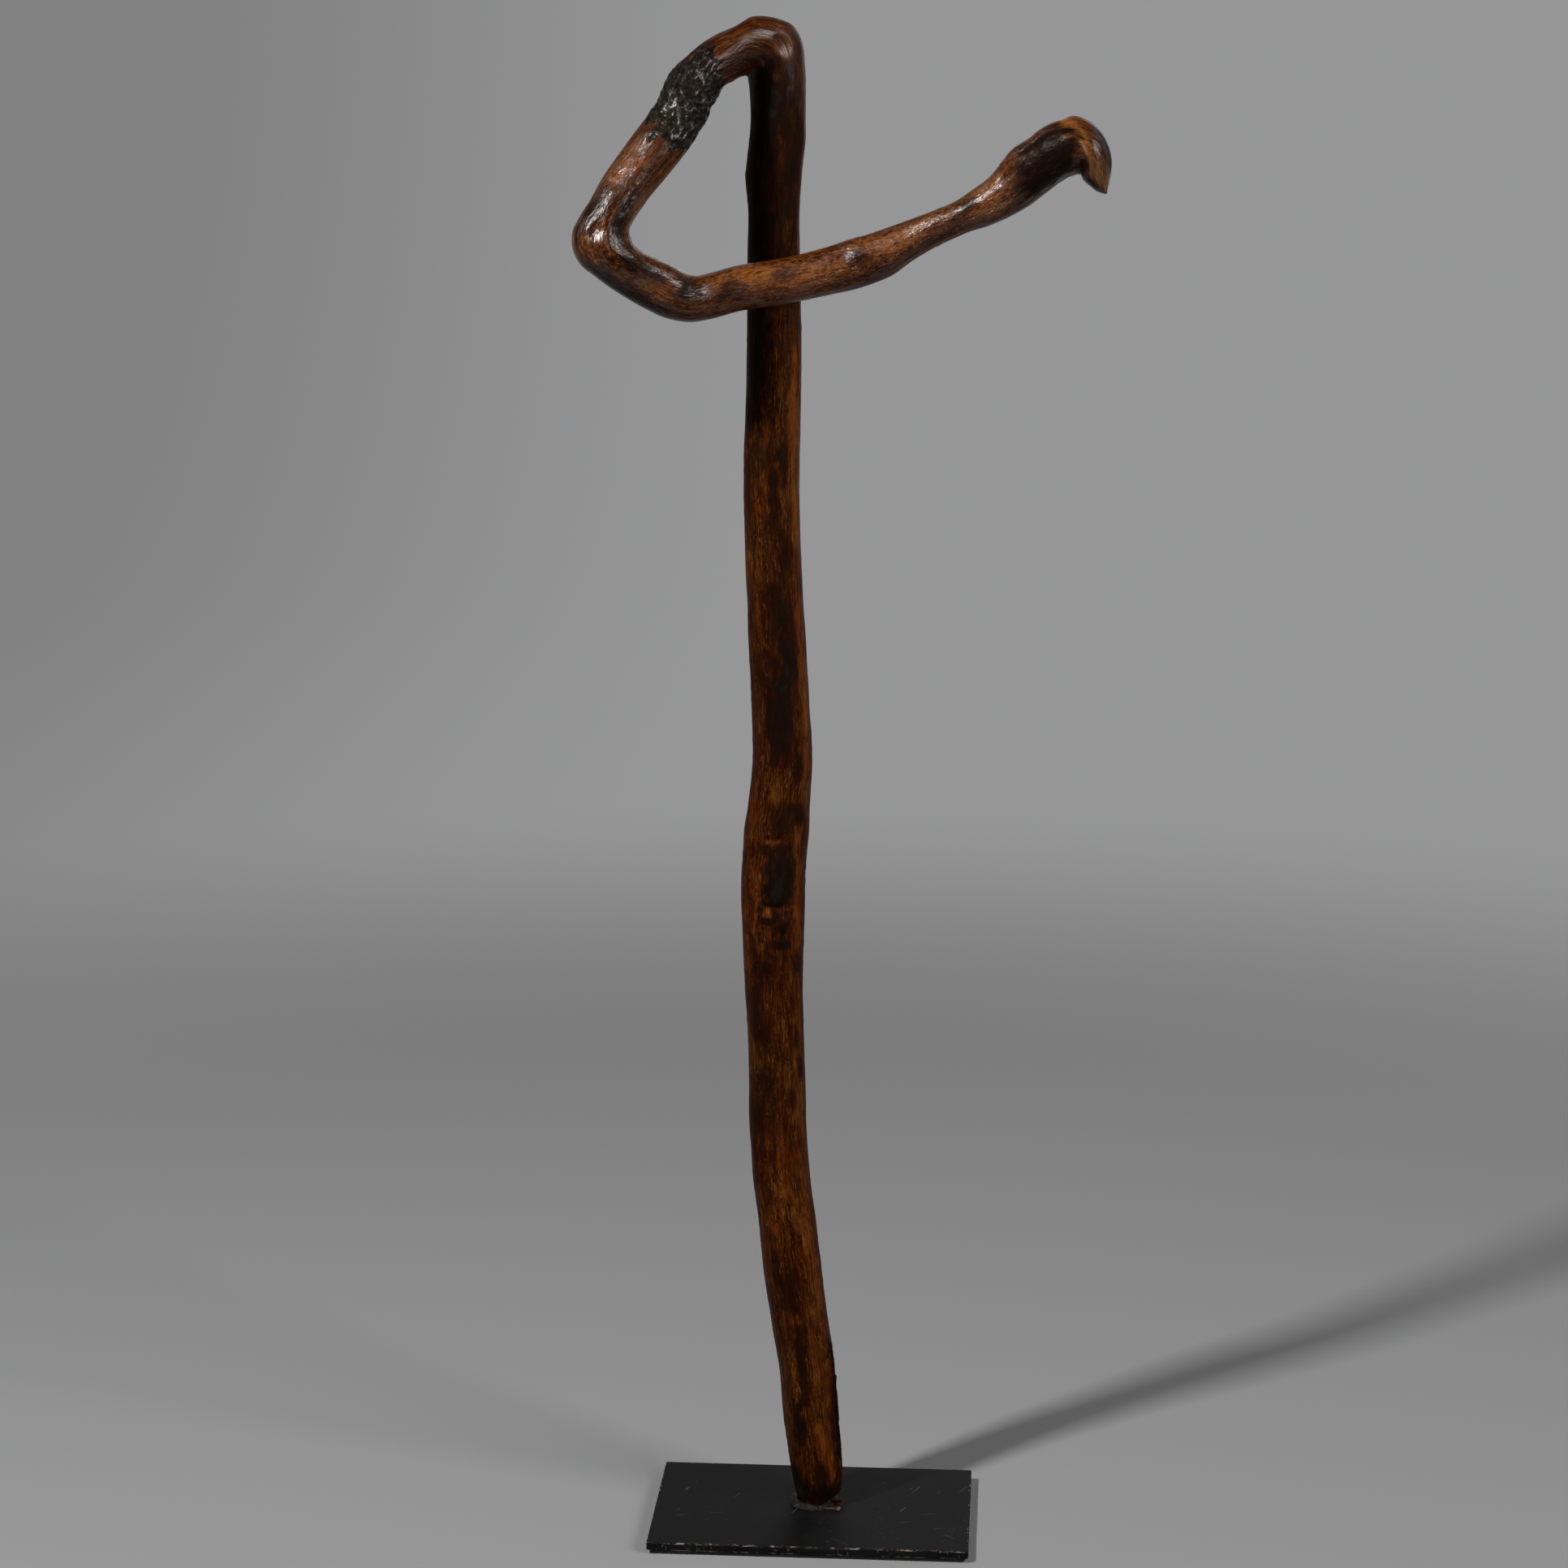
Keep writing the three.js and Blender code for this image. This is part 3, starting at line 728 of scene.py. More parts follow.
def closeTip(tube):
    # draws the open end at the hoof in to a small blunt point
    rim = [edge for edge in tube.edges if edge.is_boundary and edge.verts[0].co.z > 100]
    centre = sum((vert.co for edge in rim for vert in edge.verts), Vector()) / (2 * len(rim))
    for share, step in ((0.72, 0.7), (0.35, 0.45)):
        made = bmesh.ops.extrude_edge_only(tube, edges=rim)["geom"]
        verts = [item for item in made if isinstance(item, bmesh.types.BMVert)]
        rim = [item for item in made if isinstance(item, bmesh.types.BMEdge)
               and all(vert in verts for vert in item.verts)]
        shrink = Matrix.Translation(centre) @ Matrix.Diagonal((share, share, share, 1))
        bmesh.ops.transform(tube, matrix=shrink @ Matrix.Translation(-centre), verts=verts)
        bmesh.ops.translate(tube, verts=verts, vec=Vector(staff["tipDirection"]) * step)
    bmesh.ops.holes_fill(tube, edges=rim, sides=0)


def trimFoot(tube):
    # sawn level underneath, and pared away at the right, as the solid is
    foot, low = staff["footHeight"], 60
    angle = math.radians(staff["bevelAngle"])
    for x, outward in ((0, (0, 0, -1)), (staff["bevelStart"], (math.sin(angle), 0, -math.cos(angle)))):
        near = [vert for vert in tube.verts if vert.co.z < low]
        for parts in (tube.edges, tube.faces):
            near += [part for part in parts if all(vert.co.z < low for vert in part.verts)]
        bmesh.ops.bisect_plane(tube, geom=near, plane_co=(x, 0, foot), plane_no=outward, clear_outer=True)
        rim = [edge for edge in tube.edges if edge.is_boundary and edge.verts[0].co.z < low]
        bmesh.ops.holes_fill(tube, edges=rim, sides=0)
    # the sawn rim is a little rounded
    under = [face for face in tube.faces if len(face.verts) > 12 and face.calc_center_median().z < 40]
    rim = [edge for edge in {edge for face in under for edge in face.edges}
           if any(face not in under for face in edge.link_faces)]
    bmesh.ops.bevel(tube, geom=rim, offset=0.35, offset_type="OFFSET", affect="EDGES", segments=2,
                    profile=0.5, material=-1, clamp_overlap=True)


def makeStaff():
    skin = makeStaffSkin()
    closeTip(skin)
    trimFoot(skin)
    toMetres(skin)
    keepInside(skin, "staff")
    bmesh.ops.recalc_face_normals(skin, faces=skin.faces[:])
    piece = addPiece("staffWood", skin, "staff", "patinated_wood", "staff")
    radius, top = staff["boreRadius"] * mm, staff["boreTop"] * mm
    x, y = staff["pinPlace"]
    cutAway(piece, spunSolid([(0, 0), (radius, 0), (radius, top), (0, top)], 48, (x * mm, y * mm, 0)))
    dressPiece(piece, patinatedWood(), 50)
    return piece


# staff's finish

wood = {
    "black": (0.0048, 0.0024, 0.0015),
    "umber": (0.0092, 0.0019, 0.0005),
    "brown": (0.0240, 0.0049, 0.0007),
    "amber": (0.0570, 0.0134, 0.0012),
    "gold": (0.1500, 0.0460, 0.0060),
    "fleck": (0.240, 0.1050, 0.0260),
    "russet": (1.04, 0.76, 0.62),  # multiplies the ground colour where the wood is redder
    "rust": (0.140, 0.0280, 0.0090),
    "ash": (0.0100, 0.0095, 0.0070),
    "ochre": (0.195, 0.0720, 0.0100),
    "crustDark": (0.0028, 0.0020, 0.0014),
    "crustBrown": (0.0100, 0.0064, 0.0042),
    "crustPale": (0.0380, 0.0290, 0.0210),
    "shaftRoughness": 0.50,
    "loopRoughness": 0.33,
    "shine": 0.05,
    "shineTint": (1.0, 0.76, 0.52),
    "coat": 0.86,
    "coatRoughness": 0.285,
    "grainDepth": 0.00042,
    "mottledFrom": 0.985,  # metres along the staff, where the lengthwise streaks give way to mottling
    "mottledTo": 1.055,
}


def patinatedWood():
    material, shader, flat = newMaterial("patinatedWood", "grainPlace")
    along = axisOf(flat, 2)
    mottled = between(along, wood["mottledFrom"], wood["mottledTo"])
    # the fibres waver a little
    waver = noisy(flat, 60, 3, output="Color")
    place = addNode(flat.tree, "ShaderNodeVectorMath", {0: waver, 1: (0.003, 0.003, 0.003), 2: flat},
                    operation="MULTIPLY_ADD")
    broad = noisy(stretched(flat, (1, 1, 0.35), (3, 0, 0)), 45, 3, 0.6)
    blotches = noisy(stretched(place, (1, 1, 0.3)), 150, 5, 0.7, 0.4)
    lengths = noisy(stretched(place, (1, 1, 0.07), (0, 4, 0)), 430, 5, 0.72)
    streaks = noisy(stretched(place, (1, 1, 0.05)), 1250, 4, 0.68)
    flecks = noisy(stretched(place, (1, 1, 0.3), (0, 5, 0)), 1500, 3, 0.65)
    specks = noisy(stretched(place, (1, 1, 0.6), (2, 0, 4)), 520, 5, 0.75)
    sootAndShade, wearAndLight, crust, split, rust, ochre = (
        painted(flat.tree, name) for name in ("sootAndShade", "wearAndLight", "crust", "split", "rust", "ochre"))

    # ground colour: amber and brown in long streaks and clouds, paler where hands have worn it and where
    # light is painted on; the streaks die away towards the hoof, the loop's leg and elbow are darker than
    # its arm, and the whole loop is painted paler as well, for the key light that falls more strongly on it
    lengths = mixValue(between(along, 1.28, 1.39, 0, 0.6), lengths, 0.5)
    leg = between(along, 0.97, 1.03) * between(along, 1.17, 1.12)
    tone = broad * 0.3 + blotches * 0.24 + lengths * 0.46 + wearAndLight * 0.07 - leg * 0.035 + mottled * 0.044
    colour = colourRamp(tone, [
        (0.40, wood["umber"]),
        (0.46, wood["brown"]),
        (0.54, wood["amber"]),
        (0.66, wood["gold"]),
    ])
    ruddy = noisy(stretched(flat, (1, 1, 0.25), (9, 2, 0)), 110, 4, 0.65)
    ruddy = between(ruddy, 0.44, 0.58, 0, 0.9) * between(mottled, 0, 1, 1.0, 0.45)
    colour = mixColour(ruddy, colour, wood["russet"], "MULTIPLY")

    # dark streaks of short flecks that follow the grain, and golden specks on the loop
    lined = between(streaks * 0.62 + flecks * 0.38, 0.52, 0.455, 0, 0.9)
    spotted = specks * 0.7 + flecks * 0.3
    dark = mixValue(mottled, lined, between(spotted, 0.52, 0.43, 0, 0.8))
    dark = dark * between(wearAndLight, 0.0, 1.3, 1.0, 0.55)
    colour = mixColour(dark, colour, wood["umber"])
    golden = between(spotted + wearAndLight * 0.05, 0.535, 0.60, 0, 0.9) * mottled
    colour = mixColour(golden, colour, wood["gold"])
    lip = ochre + (spotted - 0.5) * 1.6
    colour = mixColour(between(lip, 0.45, 1.3, 0, 0.8), colour, wood["ochre"])

    # fine pale scratches along the grain, in clusters
    hair = noisy(stretched(place, (1, 1, 0.06), (0, 0, 7)), 2000, 2, 0.6)
    scratches = between(hair + (broad - 0.5) * 0.25 + wearAndLight * 0.02, 0.615, 0.675, 0, 0.42)
    colour = mixColour(scratches, colour, wood["fleck"])

    # soot, and the shade painted with the same mask, has a soft ragged border that lets the grain show, and
    # the deepest patch is ashen
    ragged = streaks * 1.1 + flecks * 1.3 + blotches * 1.2 - 1.8 + sootAndShade
    colour = mixColour(between(ragged, 0.05, 0.75, 0, 0.85), colour, wood["umber"])
    colour = mixColour(between(ragged, 0.6, 1.3, 0, 0.9), colour, wood["black"])
    colour = mixColour(between(ragged, 1.65, 2.05, 0, 0.6) * (1.0 - mottled), colour, wood["ash"])
    redness = (rust * between(spotted, 0.42, 0.56)).clamped()
    colour = mixColour(redness, colour, wood["rust"])

    # the burnt crust
    gritPlace = stretched(flat, (1, 1, 0.9), (1, 2, 3))
    blisters = noisy(gritPlace, 310, 2, 0.5)
    grit = noisy(gritPlace, 850, 6, 0.72)
    ashes = noisy(gritPlace, 170, 4, 0.6)
    crustColour = colourRamp(grit * 0.75 + ashes * 0.25, [
        (0.45, wood["crustDark"]),
        (0.54, wood["crustBrown"]),
        (0.66, wood["crustPale"]),
    ])
    crustShare = between(crust + grit * 0.7 + blotches * 0.5, 0.88, 1.12)
    colour = mixColour(crustShare, colour, crustColour)
    colour = mixColour(split, colour, wood["black"])

    # the loop is polished by handling, and the shaft is nearly matt
    handled = largest([between(along, 0.87, 0.905, 0, 0.5), mottled])
    plain = mixValue(handled, wood["shaftRoughness"], wood["loopRoughness"])
    gloss = (blotches - 0.5) * 0.6 + (flecks - 0.5) * 0.3 + between(ragged, 0.5, 1.1, 0, 0.12) + plain
    gloss = (gloss + scratches * 0.2 + crustShare * 0.06 + split * 0.4).clamped()
    polish = between(blotches + wearAndLight * 0.12, 0.38, 0.60, 0.14, 1.0)
    polish = polish * (handled * between(ragged, 0.45, 1.1, 1.0, 0.06))
    polish = mixValue(crustShare, polish, between(blisters, 0.46, 0.62, 0.03, 0.85))
    polish = polish * (1.0 - split).clamped()

    # relief: low ridges along the grain on the shaft, shallow dimples on the loop, blisters on the crust
    ridges = noisy(stretched(place, (1, 1, 0.06), (5, 0, 0)), 700, 2, 0.45)
    dimples = noisy(stretched(place, (1, 1, 0.5), (6, 0, 0)), 560, 2, 0.5)
    height = mixValue(mottled, ridges, dimples) + flecks * between(handled, 0, 1, 0.06, 0.17)
    height = height - scratches * 0.3 + blisters * 2.0 * crustShare
    normal = bumps(height, wood["grainDepth"])
    setInputs(shader, {
        "Base Color": colour,
        "Roughness": gloss,
        "Specular IOR Level": wood["shine"],
        "Specular Tint": wood["shineTint"],
        "Coat Weight": polish * wood["coat"],
        "Coat Roughness": wood["coatRoughness"],
        "Normal": normal,
        "Coat Normal": normal,
    })
    return material


staffWood = makeStaff()
print("stage: staff made,", len(staffWood.data.polygons), "faces")


# base plate

plate = {
    "size": (200, 125, 5),
    "underside": 2.8,
    "corner": 1.2,
    "edge": 0.5,
    "border": 0.6,  # less than the corner less the edge, or the corners fold over
    "chipSpacing": 0.8,
    "chipDepth": 0.55,
    "screwHole": 3.1,
    "screwMouth": 6.1,
    "screwCone": 3,
    "screwRim": 0.3,
    "pinSetBack": 8,
    "paint": (0.0026, 0.0026, 0.0028),
    "paintWorn": (0.0054, 0.0054, 0.0058),
    "scratch": (0.12, 0.12, 0.12),
    "bare": (0.42, 0.38, 0.34),
    "copper": (0.30, 0.13, 0.07),
}


def roundedSlab(width, depth, height, corner, edge):
    # a slab with rounded upright corners and softened edges, standing on z = 0
    slab = bmesh.new()
    bmesh.ops.create_cube(slab, size=1)
    bmesh.ops.scale(slab, verts=slab.verts[:], vec=(width, depth, height))
    bmesh.ops.translate(slab, verts=slab.verts[:], vec=(0, 0, height / 2))
    bmesh.ops.bevel(slab, geom=longEdges(slab, 2, height / 2), offset=corner, offset_type="OFFSET",
                    affect="EDGES", segments=5, profile=0.5, material=-1)
    if edge:
        level = [e for e in slab.edges if edgeReach(e, 2) < 1e-6
                 and any(abs(f.normal.z) > 0.9 for f in e.link_faces)
                 and any(abs(f.normal.z) < 0.1 for f in e.link_faces)]
        bmesh.ops.bevel(slab, geom=level, offset=edge, offset_type="OFFSET", affect="EDGES", segments=3,
                        profile=0.5, material=-1)
    return slab


def insetBroad(slab, least, border, spacing):
    # sets a border round the broad faces and divides the long edges, to be chipped or frayed
    broad = [face for face in slab.faces if abs(face.normal.z) > 0.9 and face.calc_area() > least]
    bmesh.ops.inset_region(slab, faces=broad, thickness=border, use_even_offset=True)
    for axis in (0, 1):
        long = longEdges(slab, axis, 20 * spacing)
        length = max(edgeReach(edge, axis) for edge in long)
        bmesh.ops.subdivide_edges(slab, edges=long, cuts=int(length / spacing), use_grid_fill=True)


def makePlate():
    width, depth, height = plate["size"]
    slab = roundedSlab(width, depth, height, plate["corner"], plate["edge"])
    insetBroad(slab, width * depth / 2, plate["border"], plate["chipSpacing"])
    bare = slab.verts.layers.float.new("bare")
    slab.normal_update()
    moves = {}
    for vert in slab.verts:
        x, y, z = vert.co
        inset = min(width / 2 - abs(x), depth / 2 - abs(y))
        nearEdge = (1 - smoothStep(0.3, 1.6, inset)) * (1 - smoothStep(0.3, 1.3, min(z, height - z)))
        knock = noiseAt(x / 2.1, y / 2.1, z / 1.5) + 0.6 * noiseAt(x / 0.9, y / 0.9, z / 0.8 + 7)
        ragged = 1.7 if x > width / 2 - 1.5 else 1.0
        if y < -depth / 2 + 1.5 and z > height / 2:
            ragged = 1.3  # the front upper edge has had many knocks, too
        chip = smoothStep(0.42, 0.85, knock * ragged) * nearEdge
        wave = noiseAt(x / 11, y / 11, z / 4)
        moves[vert] = -(0.06 * abs(wave) * (inset < 1) + plate["chipDepth"] * chip) * vert.normal
        vert[bare] = chip + 0.3 * nearEdge * smoothStep(0.05, 0.6, wave)
    moveVerts(moves)
    bmesh.ops.translate(slab, verts=slab.verts[:], vec=(0, 0, plate["underside"]))
    toMetres(slab)
    piece = addPiece("plateSteel", slab, "base", "black_paint", "base_plate")
    low, mouth, hole = plate["underside"], plate["screwMouth"], plate["screwHole"]
    cone = low + plate["screwRim"]
    profile = [(0, low - 1), (mouth, low - 1), (mouth, cone), (hole, cone + plate["screwCone"]),
               (hole, low + height + 1), (0, low + height + 1)]
    cutAway(piece, spunSolid([(r * mm, z * mm) for r, z in profile], 48, (0, plate["pinSetBack"] * mm, 0)))
    dressPiece(piece, blackPaint(), 32)
    return piece


def blackPaint():
    material, shader, place = newMaterial("blackPaint")
    cloudy = noisy(place, 38, 4, 0.6)
    grain = noisy(place, 2400, 2, 0.6)
    colour = mixColour(between(cloudy, 0.35, 0.7), plate["paint"], plate["paintWorn"])

    # a few fine scratches that lie every way, and small scuffed spots
    marks = []
    for turn, shift in ((25, 0.0), (-50, 3.0), (80, 6.0)):
        long = stretched(stretched(place, (1, 1, 1), turn=turn), (1, 0.035, 0.2), (shift, 0, 0))
        where = noisy(stretched(place, (1, 1, 1), (shift, 1, 0)), 55, 2)
        marks.append(between(noisy(long, 900, 1, 0.5), 0.725, 0.755) * between(where, 0.55, 0.65))
    marks.append(between(noisy(place, 750, 3, 0.7), 0.64, 0.69) * between(noisy(place, 30, 2), 0.56, 0.66))
    marks = largest(marks)
    colour = mixColour(marks * 0.5, colour, plate["scratch"])

    # paint lost along the edges shows primer and bare metal
    broken = noisy(stretched(place, (1, 1, 2.5)), 520, 3, 0.7)
    lost = (painted(place.tree, "bare") * between(broken, 0.44, 0.62)).clamped()
    lost = between(lost, 0.16, 0.34)

    # the front face shows thin broken lines of bare metal along its upper and lower edge, partly rubbed
    # paint and partly painted edge highlights
    height = axisOf(place, 2)
    front = between(axisOf(place, 1), -0.0608, -0.0616)
    edgeLines = largest([between(height, 0.0070, 0.0074), between(height, 0.0037, 0.0033)])
    streaky = noisy(stretched(place, (0.16, 0.3, 1)), 1300, 2, 0.6)
    gaps = between(noisy(stretched(place, (1, 0, 0)), 60, 2), 0.42, 0.56)
    rubbedAndLitLines = between(streaky, 0.50, 0.58) * (edgeLines * gaps) * 0.55
    lost = (lost * between(front, 0, 1, 1.0, 0.22) + rubbedAndLitLines * front).clamped()
    metal = mixColour(between(noisy(place, 160, 2), 0.45, 0.6), plate["bare"], plate["copper"])
    setInputs(shader, {
        "Base Color": mixColour(lost, colour, metal),
        "Roughness": cloudy * 0.25 + 0.46 + grain * 0.1,
        "Specular IOR Level": 0.08,
        "Metallic": lost * 0.8,
        "Normal": bumps(grain * 0.6 + cloudy * 0.8 - marks * 0.7 - lost * 0.9, 0.00005),
    })
    return material


plateSteel = makePlate()
print("stage: base plate made,", len(plateSteel.data.polygons), "faces")


# felt under the plate

felt = {
    "size": (196, 121, 2.5),
    "corner": 2,
    "border": 2,
    "spacing": 0.9,
    "fray": 0.22,
    "bulge": 0.25,
    "colour": (0.007, 0.007, 0.0075),
    "lint": (0.035, 0.034, 0.033),
}


def makeFelt():
    width, depth, height = felt["size"]
    sheet = roundedSlab(width, depth, height, felt["corner"], 0)
    insetBroad(sheet, 0, felt["border"], felt["spacing"])
    bmesh.ops.subdivide_edges(sheet, edges=longEdges(sheet, 2, height / 2), cuts=2, use_grid_fill=True)
    sheet.normal_update()
    moves = {}
    for vert in sheet.verts:
        x, y, z = vert.co
        if min(width / 2 - abs(x), depth / 2 - abs(y)) < 0.9:
            fray = noiseAt(x / 1.7, y / 1.7, z * 1.3) + 0.7 * noiseAt(x / 6, y / 6, z)
            bulge = felt["bulge"] * math.sin(math.pi * z / height)
            moves[vert] = Vector((*vert.normal.xy, 0)) * (felt["fray"] * (fray - 0.4) + bulge)
    moveVerts(moves)
    toMetres(sheet)
    piece = addPiece("feltSheet", sheet, "base", "black_felt", "felt_sheet")
    dressPiece(piece, blackFelt(), 50)


def blackFelt():
    material, shader, place = newMaterial("blackFelt")
    hair = noisy(place, 2600, 4, 0.8)
    tufts = noisy(place, 420, 3, 0.6, 1.2)
    setInputs(shader, {
        "Base Color": mixColour(between(hair, 0.62, 0.72, 0, 0.6), felt["colour"], felt["lint"]),
        "Roughness": 0.95,
        "Sheen Weight": 0.3,
        "Sheen Roughness": 0.6,
        "Normal": bumps(hair + tufts * 1.5, 0.00022),
    })
    return material


makeFelt()
print("stage: felt made")


# pin and screw

pin = {
    "radius": 5,
    "height": 64,
    "floor": 8.1,
    "chamfer": 1.2,
    "tapRadius": 3.1,
    "tapDepth": 17,
    "tapPoint": 1.2,
    "tapMouth": 0.4,
    "rim": 0.3,
    "grooves": 30,
    "grooveDepth": 0.03,
    "steel": (0.46, 0.45, 0.43),
    "tarnish": (0.20, 0.17, 0.13),
}


def makePin():
    radius, height, rim = pin["radius"], pin["height"], pin["rim"]
    tap, mouth, shoulder = pin["tapRadius"], pin["tapMouth"], height - pin["chamfer"]
    profile = [(0, pin["tapDepth"] + pin["tapPoint"]), (tap, pin["tapDepth"]), (tap, mouth),
               (tap + mouth, 0), (radius - rim, 0), (radius, rim)]
    # light turning marks: shallow grooves round the bar
    for i in range(1, pin["grooves"]):
        level = rim + (shoulder - rim) * i / pin["grooves"]
        profile += [(radius, level - 0.1), (radius - pin["grooveDepth"], level), (radius, level + 0.1)]
    end = radius - pin["chamfer"]
    profile += [(radius, shoulder - 0.2), (radius - 0.1, shoulder), (end, height - 0.08),
                (end - rim, height), (0, height)]
    middle = (0, staff["pinPlace"][1] * mm, pin["floor"] * mm)
    bar = spunSolid([(r * mm, z * mm) for r, z in profile], 64, middle)
    piece = addPiece("standPin", bar, "base", "steel", "mount_pin")
    dressPiece(piece, turnedSteel(), 28)
    return piece


def turnedSteel():
    material, shader, place = newMaterial("turnedSteel")
    rings = noisy(stretched(place, (0.02, 0.02, 1)), 5200, 3, 0.7)
    stains = noisy(place, 180, 4, 0.65)
    setInputs(shader, {
        "Base Color": mixColour(between(stains, 0.48, 0.72), pin["steel"], pin["tarnish"]),
        "Metallic": 1,
        "Roughness": rings * 0.2 + stains * 0.35 + 0.08,
        "Normal": bumps(rings, 0.00002),
    })
    return material


standPin = makePin()
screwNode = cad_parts["pin_screw"]
screwNode.data.materials.clear()
screwNode.data.materials.append(standPin.data.materials[0])
print("stage: pin made")


# wax under the foot

wax = {
    "voxel": 0.36,
    "lumps": 0.75,
    "colour": (0.0180, 0.0115, 0.0068),
    "dust": (0.050, 0.038, 0.027),
    "dirt": (0.0042, 0.0028, 0.0020),
}


def makeWax():
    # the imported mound, remeshed finely and pressed into lumps; it is only ever pushed inwards
    mound = bmesh.new()
    mound.from_mesh(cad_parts["wax_bead"].data)
    bmesh.ops.remove_doubles(mound, verts=mound.verts[:], dist=1e-6)
    piece = addPiece("waxMound", mound, "foot_packing", "wax", "wax_bead")
    remesh = piece.modifiers.new("remesh", "REMESH")
    remesh.mode = "VOXEL"
    remesh.voxel_size = wax["voxel"] * mm
    applyModifiers(piece)
    lumpy = bmesh.new()
    lumpy.from_mesh(piece.data)
    bmesh.ops.smooth_vert(lumpy, verts=lumpy.verts[:], factor=0.5, use_axis_x=True, use_axis_y=True,
                          use_axis_z=True)
    lumpy.normal_update()
    centre = Vector((0, staff["pinPlace"][1] * mm, 0))
    floor = pin["floor"] * mm
    moves = {}
    for vert in lumpy.verts:
        place = vert.co / mm
        dent = 0.5 + 0.7 * noise.noise(place / 2.6) + 0.45 * noise.noise(place / 1.1)
        rim = smoothStep(10, 15, (vert.co - centre).xy.length / mm)
        free = smoothStep(0.1, 0.8, (vert.co.z - floor) / mm)  # the flat bottom stays flat
        outward = Vector((*vert.normal.xy, max(0, vert.normal.z)))
        moves[vert] = -outward * max(0, dent) * wax["lumps"] * free * (0.35 + 0.65 * rim) * mm
    moveVerts(moves)
    for vert in lumpy.verts:
        behind = smoothStep(6, 11, vert.co.y / mm) * smoothStep(4, -4, vert.co.x / mm)
        vert.co.z = floor + (vert.co.z - floor) * (1 - 0.5 * behind)
    lumpy.to_mesh(piece.data)
    lumpy.free()
    dressPiece(piece, oldWax())
    return piece


def oldWax():
    material, shader, place = newMaterial("oldWax")
    smears = noisy(place, 420, 4, 0.65, 0.5)
    specks = noisy(place, 1900, 3, 0.7)
    colour = mixColour(between(smears, 0.38, 0.62), wax["dirt"], wax["colour"])
    setInputs(shader, {
        "Base Color": mixColour(between(specks, 0.56, 0.70, 0, 0.8), colour, wax["dust"]),
        "Roughness": between(smears, 0.3, 0.7, 0.75, 0.45),
        "Specular IOR Level": 0.12,
        "Subsurface Weight": 0.08,
        "Subsurface Radius": (0.002, 0.001, 0.0006),
        "Normal": bumps(smears + specks * 0.5, 0.0004),
    })
    return material


waxMound = makeWax()
print("stage: wax made,", len(waxMound.data.polygons), "faces")


# slivers of wood beside the pin

# the slivers' colours are darkened with painted shade as well, for the staff's shadow that falls on them
slivers = {
    "rearSliver": {
        "node": "wedge_rear",
        "length": 15,
        "breadth": 4.5,
        "thinEnd": 0.8,
        "thickEnd": 2.3,
        "turn": -17,
        "place": (6.5, 7, 9.3),
        "wood": (0.034, 0.0085, 0.0040),
        "end": (0.056, 0.018, 0.009),
        "seed": 3,
    },
    "frontSliver": {
        "node": "wedge_front",
        "length": 16,
        "breadth": 4,
        "thinEnd": 0.6,
        "thickEnd": 1.5,
        "turn": -8,
        "place": (2.5, -3.5, 8.1),
        "wood": (0.026, 0.0090, 0.0042),
        "end": (0.17, 0.105, 0.062),
        "seed": 8,
    },
}


def makeSliver(name, sliver):
    length, breadth, seed = sliver["length"], sliver["breadth"], sliver["seed"]
    chip = bmesh.new()
    bmesh.ops.create_cube(chip, size=1)
    bmesh.ops.translate(chip, verts=chip.verts[:], vec=(0.5, 0, 0.5))
    for axis, cuts in ((0, 46), (1, 14), (2, 5)):
        bmesh.ops.subdivide_edges(chip, edges=longEdges(chip, axis, 0.5), cuts=cuts, use_grid_fill=True)
    place = chip.verts.layers.float_vector.new("grainPlace")
    for vert in chip.verts:
        x, y, z = vert.co
        fibre = noiseAt(seed, y * 9, z * 4)
        finer = noiseAt(seed + x * 1.5, y * 22, z * 7)
        height = sliver["thinEnd"] + (sliver["thickEnd"] - sliver["thinEnd"]) * x
        # torn ends, rounded long edges and grooves that follow the fibres
        reach = length - (0.9 + 1.3 * fibre + 0.7 * finer) * smoothStep(0.75, 1, x) ** 2
        start = (0.4 + 0.8 * abs(fibre)) * smoothStep(0.25, 0, x) ** 2
        narrow = 1 - 0.14 * smoothStep(0.6, 1, x) - 0.10 * max(0, noiseAt(x * 5, 2, seed))
        side = smoothStep(0.6, 1, abs(y) * 2)
        thin = 1 - 0.13 * side - 0.10 * max(0, finer)
        lift = 0.05 * height * (1 - z) * side
        vert.co = (start + (reach - start) * x, y * breadth * narrow, lift + z * height * thin)
        vert[place] = vert.co * mm
    turn = Matrix.Rotation(math.radians(sliver["turn"]), 4, "Z")
    bmesh.ops.transform(chip, matrix=turn, verts=chip.verts[:])
    bmesh.ops.translate(chip, verts=chip.verts[:], vec=sliver["place"])
    toMetres(chip)
    bmesh.ops.recalc_face_normals(chip, faces=chip.faces[:])
    piece = addPiece(name, chip, "foot_packing", "raw_wood", sliver["node"])
    dressPiece(piece, splitWood(name + "Wood", sliver), 45)


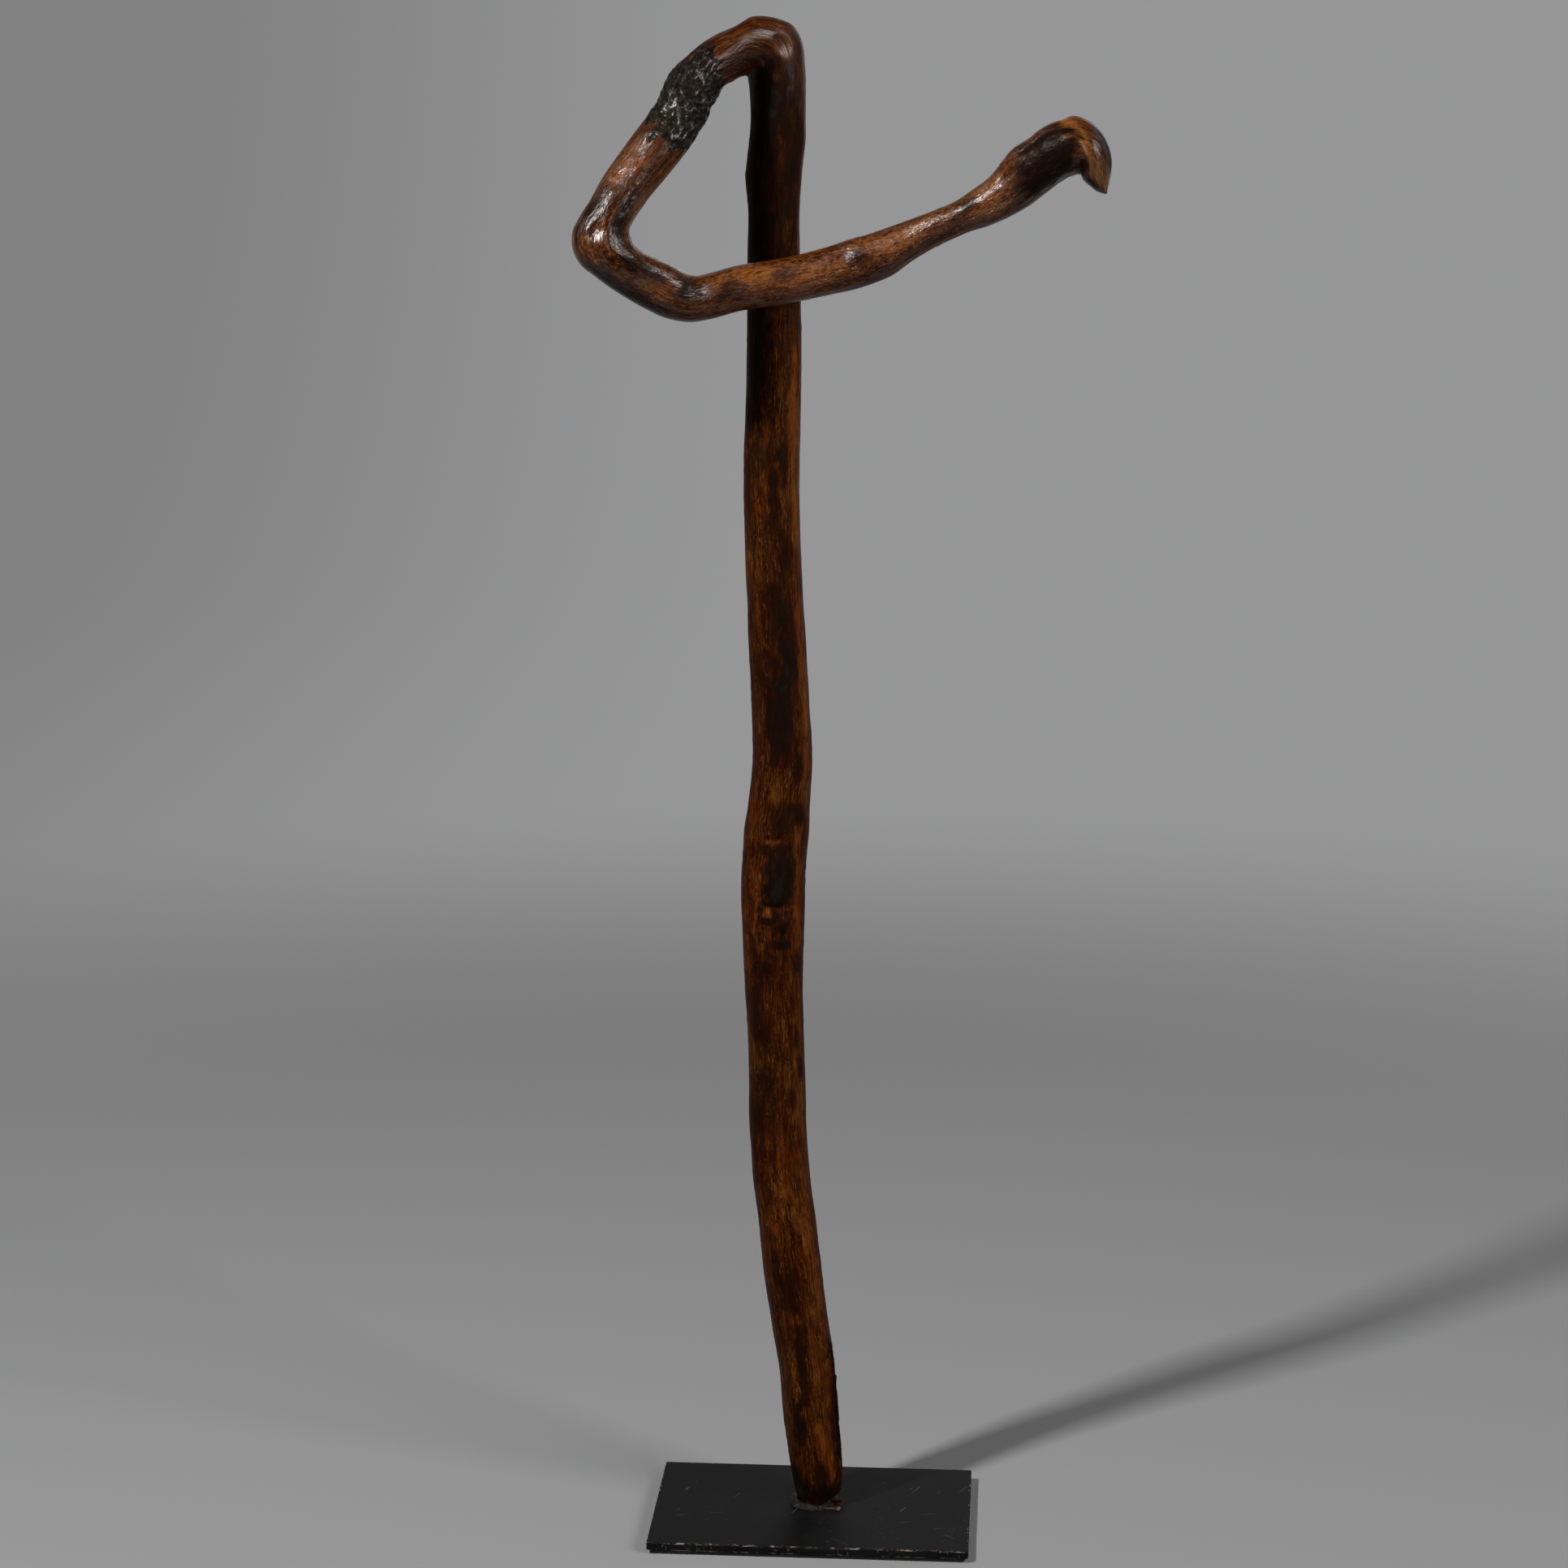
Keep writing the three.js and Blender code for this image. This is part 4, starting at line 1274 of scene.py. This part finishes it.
def splitWood(name, sliver):
    material, shader, place = newMaterial(name, "grainPlace")
    fibres = noisy(stretched(place, (0.06, 1, 1), (sliver["seed"], 0, 0)), 2600, 3, 0.7)
    broad = noisy(stretched(place, (0.2, 1, 1)), 420, 3, 0.6)
    colour = mixColour(between(fibres, 0.35, 0.65), (0.012, 0.005, 0.003), sliver["wood"])
    colour = mixColour(between(broad, 0.5, 0.7, 0, 0.6), colour, sliver["end"])
    endPart = axisOf(place, 0) + broad * 0.003
    atEnd = between(endPart, (sliver["length"] - 1.2) * mm, (sliver["length"] + 1.2) * mm)
    setInputs(shader, {
        "Base Color": mixColour(atEnd, colour, sliver["end"]),
        "Roughness": 0.62,
        "Specular IOR Level": 0.12,
        "Normal": bumps(fibres + broad, 0.00025),
    })
    return material


for sliverName, sliverSizes in slivers.items():
    makeSliver(sliverName, sliverSizes)
print("stage: slivers made")


# floor, lamps and world

studio = {
    "floorColour": (0.255, 0.255, 0.259),
    "backdropGlow": (0.305, 0.305, 0.310),
    "frontGlow": (0.170, 0.170, 0.173),
    "sideGlow": (0.090, 0.090, 0.092),
    "floorReach": 3.4,
    "coveRadius": 1.6,
    "coveSteps": 12,
    "wallTop": 4.6,
    "aim": (0.0, 0.0, 0.55),
    "lamps": {
        # place, size, power
        "keyLamp": ((-1.31, -1.16, 2.2), 0.17, 72),
        "fillLamp": ((2.32, -1.34, 1.8), 1.1, 64),
        "rearLamp": ((0.5, 2.7, 1.0), 1.8, 9),  # only so that the back isn't in the dark
    },
    "worldColour": (0.95, 0.97, 1.0),
    "worldStrength": 0.042,
}


def makeFloor():
    # a level disc that curves up into a low round wall, so that every view has a plain ground
    reach, curve, steps = studio["floorReach"], studio["coveRadius"], studio["coveSteps"]
    profile = [(0, 0), (reach, 0)]
    for step in range(1, steps + 1):
        turn = math.radians(90 * step / steps)
        profile.append((reach + curve * math.sin(turn), curve * (1 - math.cos(turn))))
    profile.append((reach + curve, studio["wallTop"]))
    floor = addObject("studioFloor", makeMesh("studioFloor", spunSolid(profile, 128, (0, 0, 0))))
    dressPiece(floor, studioPaper())


def studioPaper():
    # the paper is lit and takes the shadow near the object, and is an even grey further off
    material, shader, place = newMaterial("studioPaper")
    tree = place.tree
    setInputs(shader, {"Base Color": studio["floorColour"], "Roughness": 0.9, "Specular IOR Level": 0.2})
    away = addNode(tree, "ShaderNodeVectorMath", {0: place}, "Value", operation="LENGTH")
    rays = ("Is Camera Ray", "Is Glossy Ray", "Is Transmission Ray")
    seen = largest([addNode(tree, "ShaderNodeLightPath", {}, ray) for ray in rays])
    # the side that faces the object's front is dimmer, as a room in front of a lit backdrop is
    grey = mixColour(between(axisOf(place, 1), -2.2, 1.2), studio["frontGlow"], studio["backdropGlow"])
    # and the left side is painted darker still, as shade in the less lit side of the room
    grey = mixColour(between(axisOf(place, 0), -0.2, -1.6, 0, 0.4), grey, studio["sideGlow"])
    glow = addNode(tree, "ShaderNodeEmission", {"Color": grey, "Strength": 1.0})
    paper = Signal(shader.outputs[0])
    share = addNode(tree, "ShaderNodeMixShader", {0: between(away, 0.9, 2.1) * seen, 1: paper, 2: glow})
    setInputs(tree.nodes["Material Output"], {"Surface": share})
    return material


def makeLamp(name, place, size, power):
    lamp = bpy.data.lights.new(name, "AREA")
    lamp.shape = "SQUARE"
    lamp.size = size
    lamp.energy = power
    stand = addObject(name, lamp)
    stand.location = place
    stand.rotation_euler = (Vector(place) - Vector(studio["aim"])).to_track_quat("Z", "Y").to_euler()


def makeWorld():
    world = bpy.data.worlds.new("studioWorld")
    world.use_nodes = True
    glow = {"Color": studio["worldColour"], "Strength": studio["worldStrength"]}
    setInputs(world.node_tree.nodes["Background"], glow)
    scene.world = world


makeFloor()
for lampName, lampSizes in studio["lamps"].items():
    makeLamp(lampName, *lampSizes)
makeWorld()
scene.view_settings.view_transform = "Standard"
print("stage: studio made")


# the end

print("stage: done")
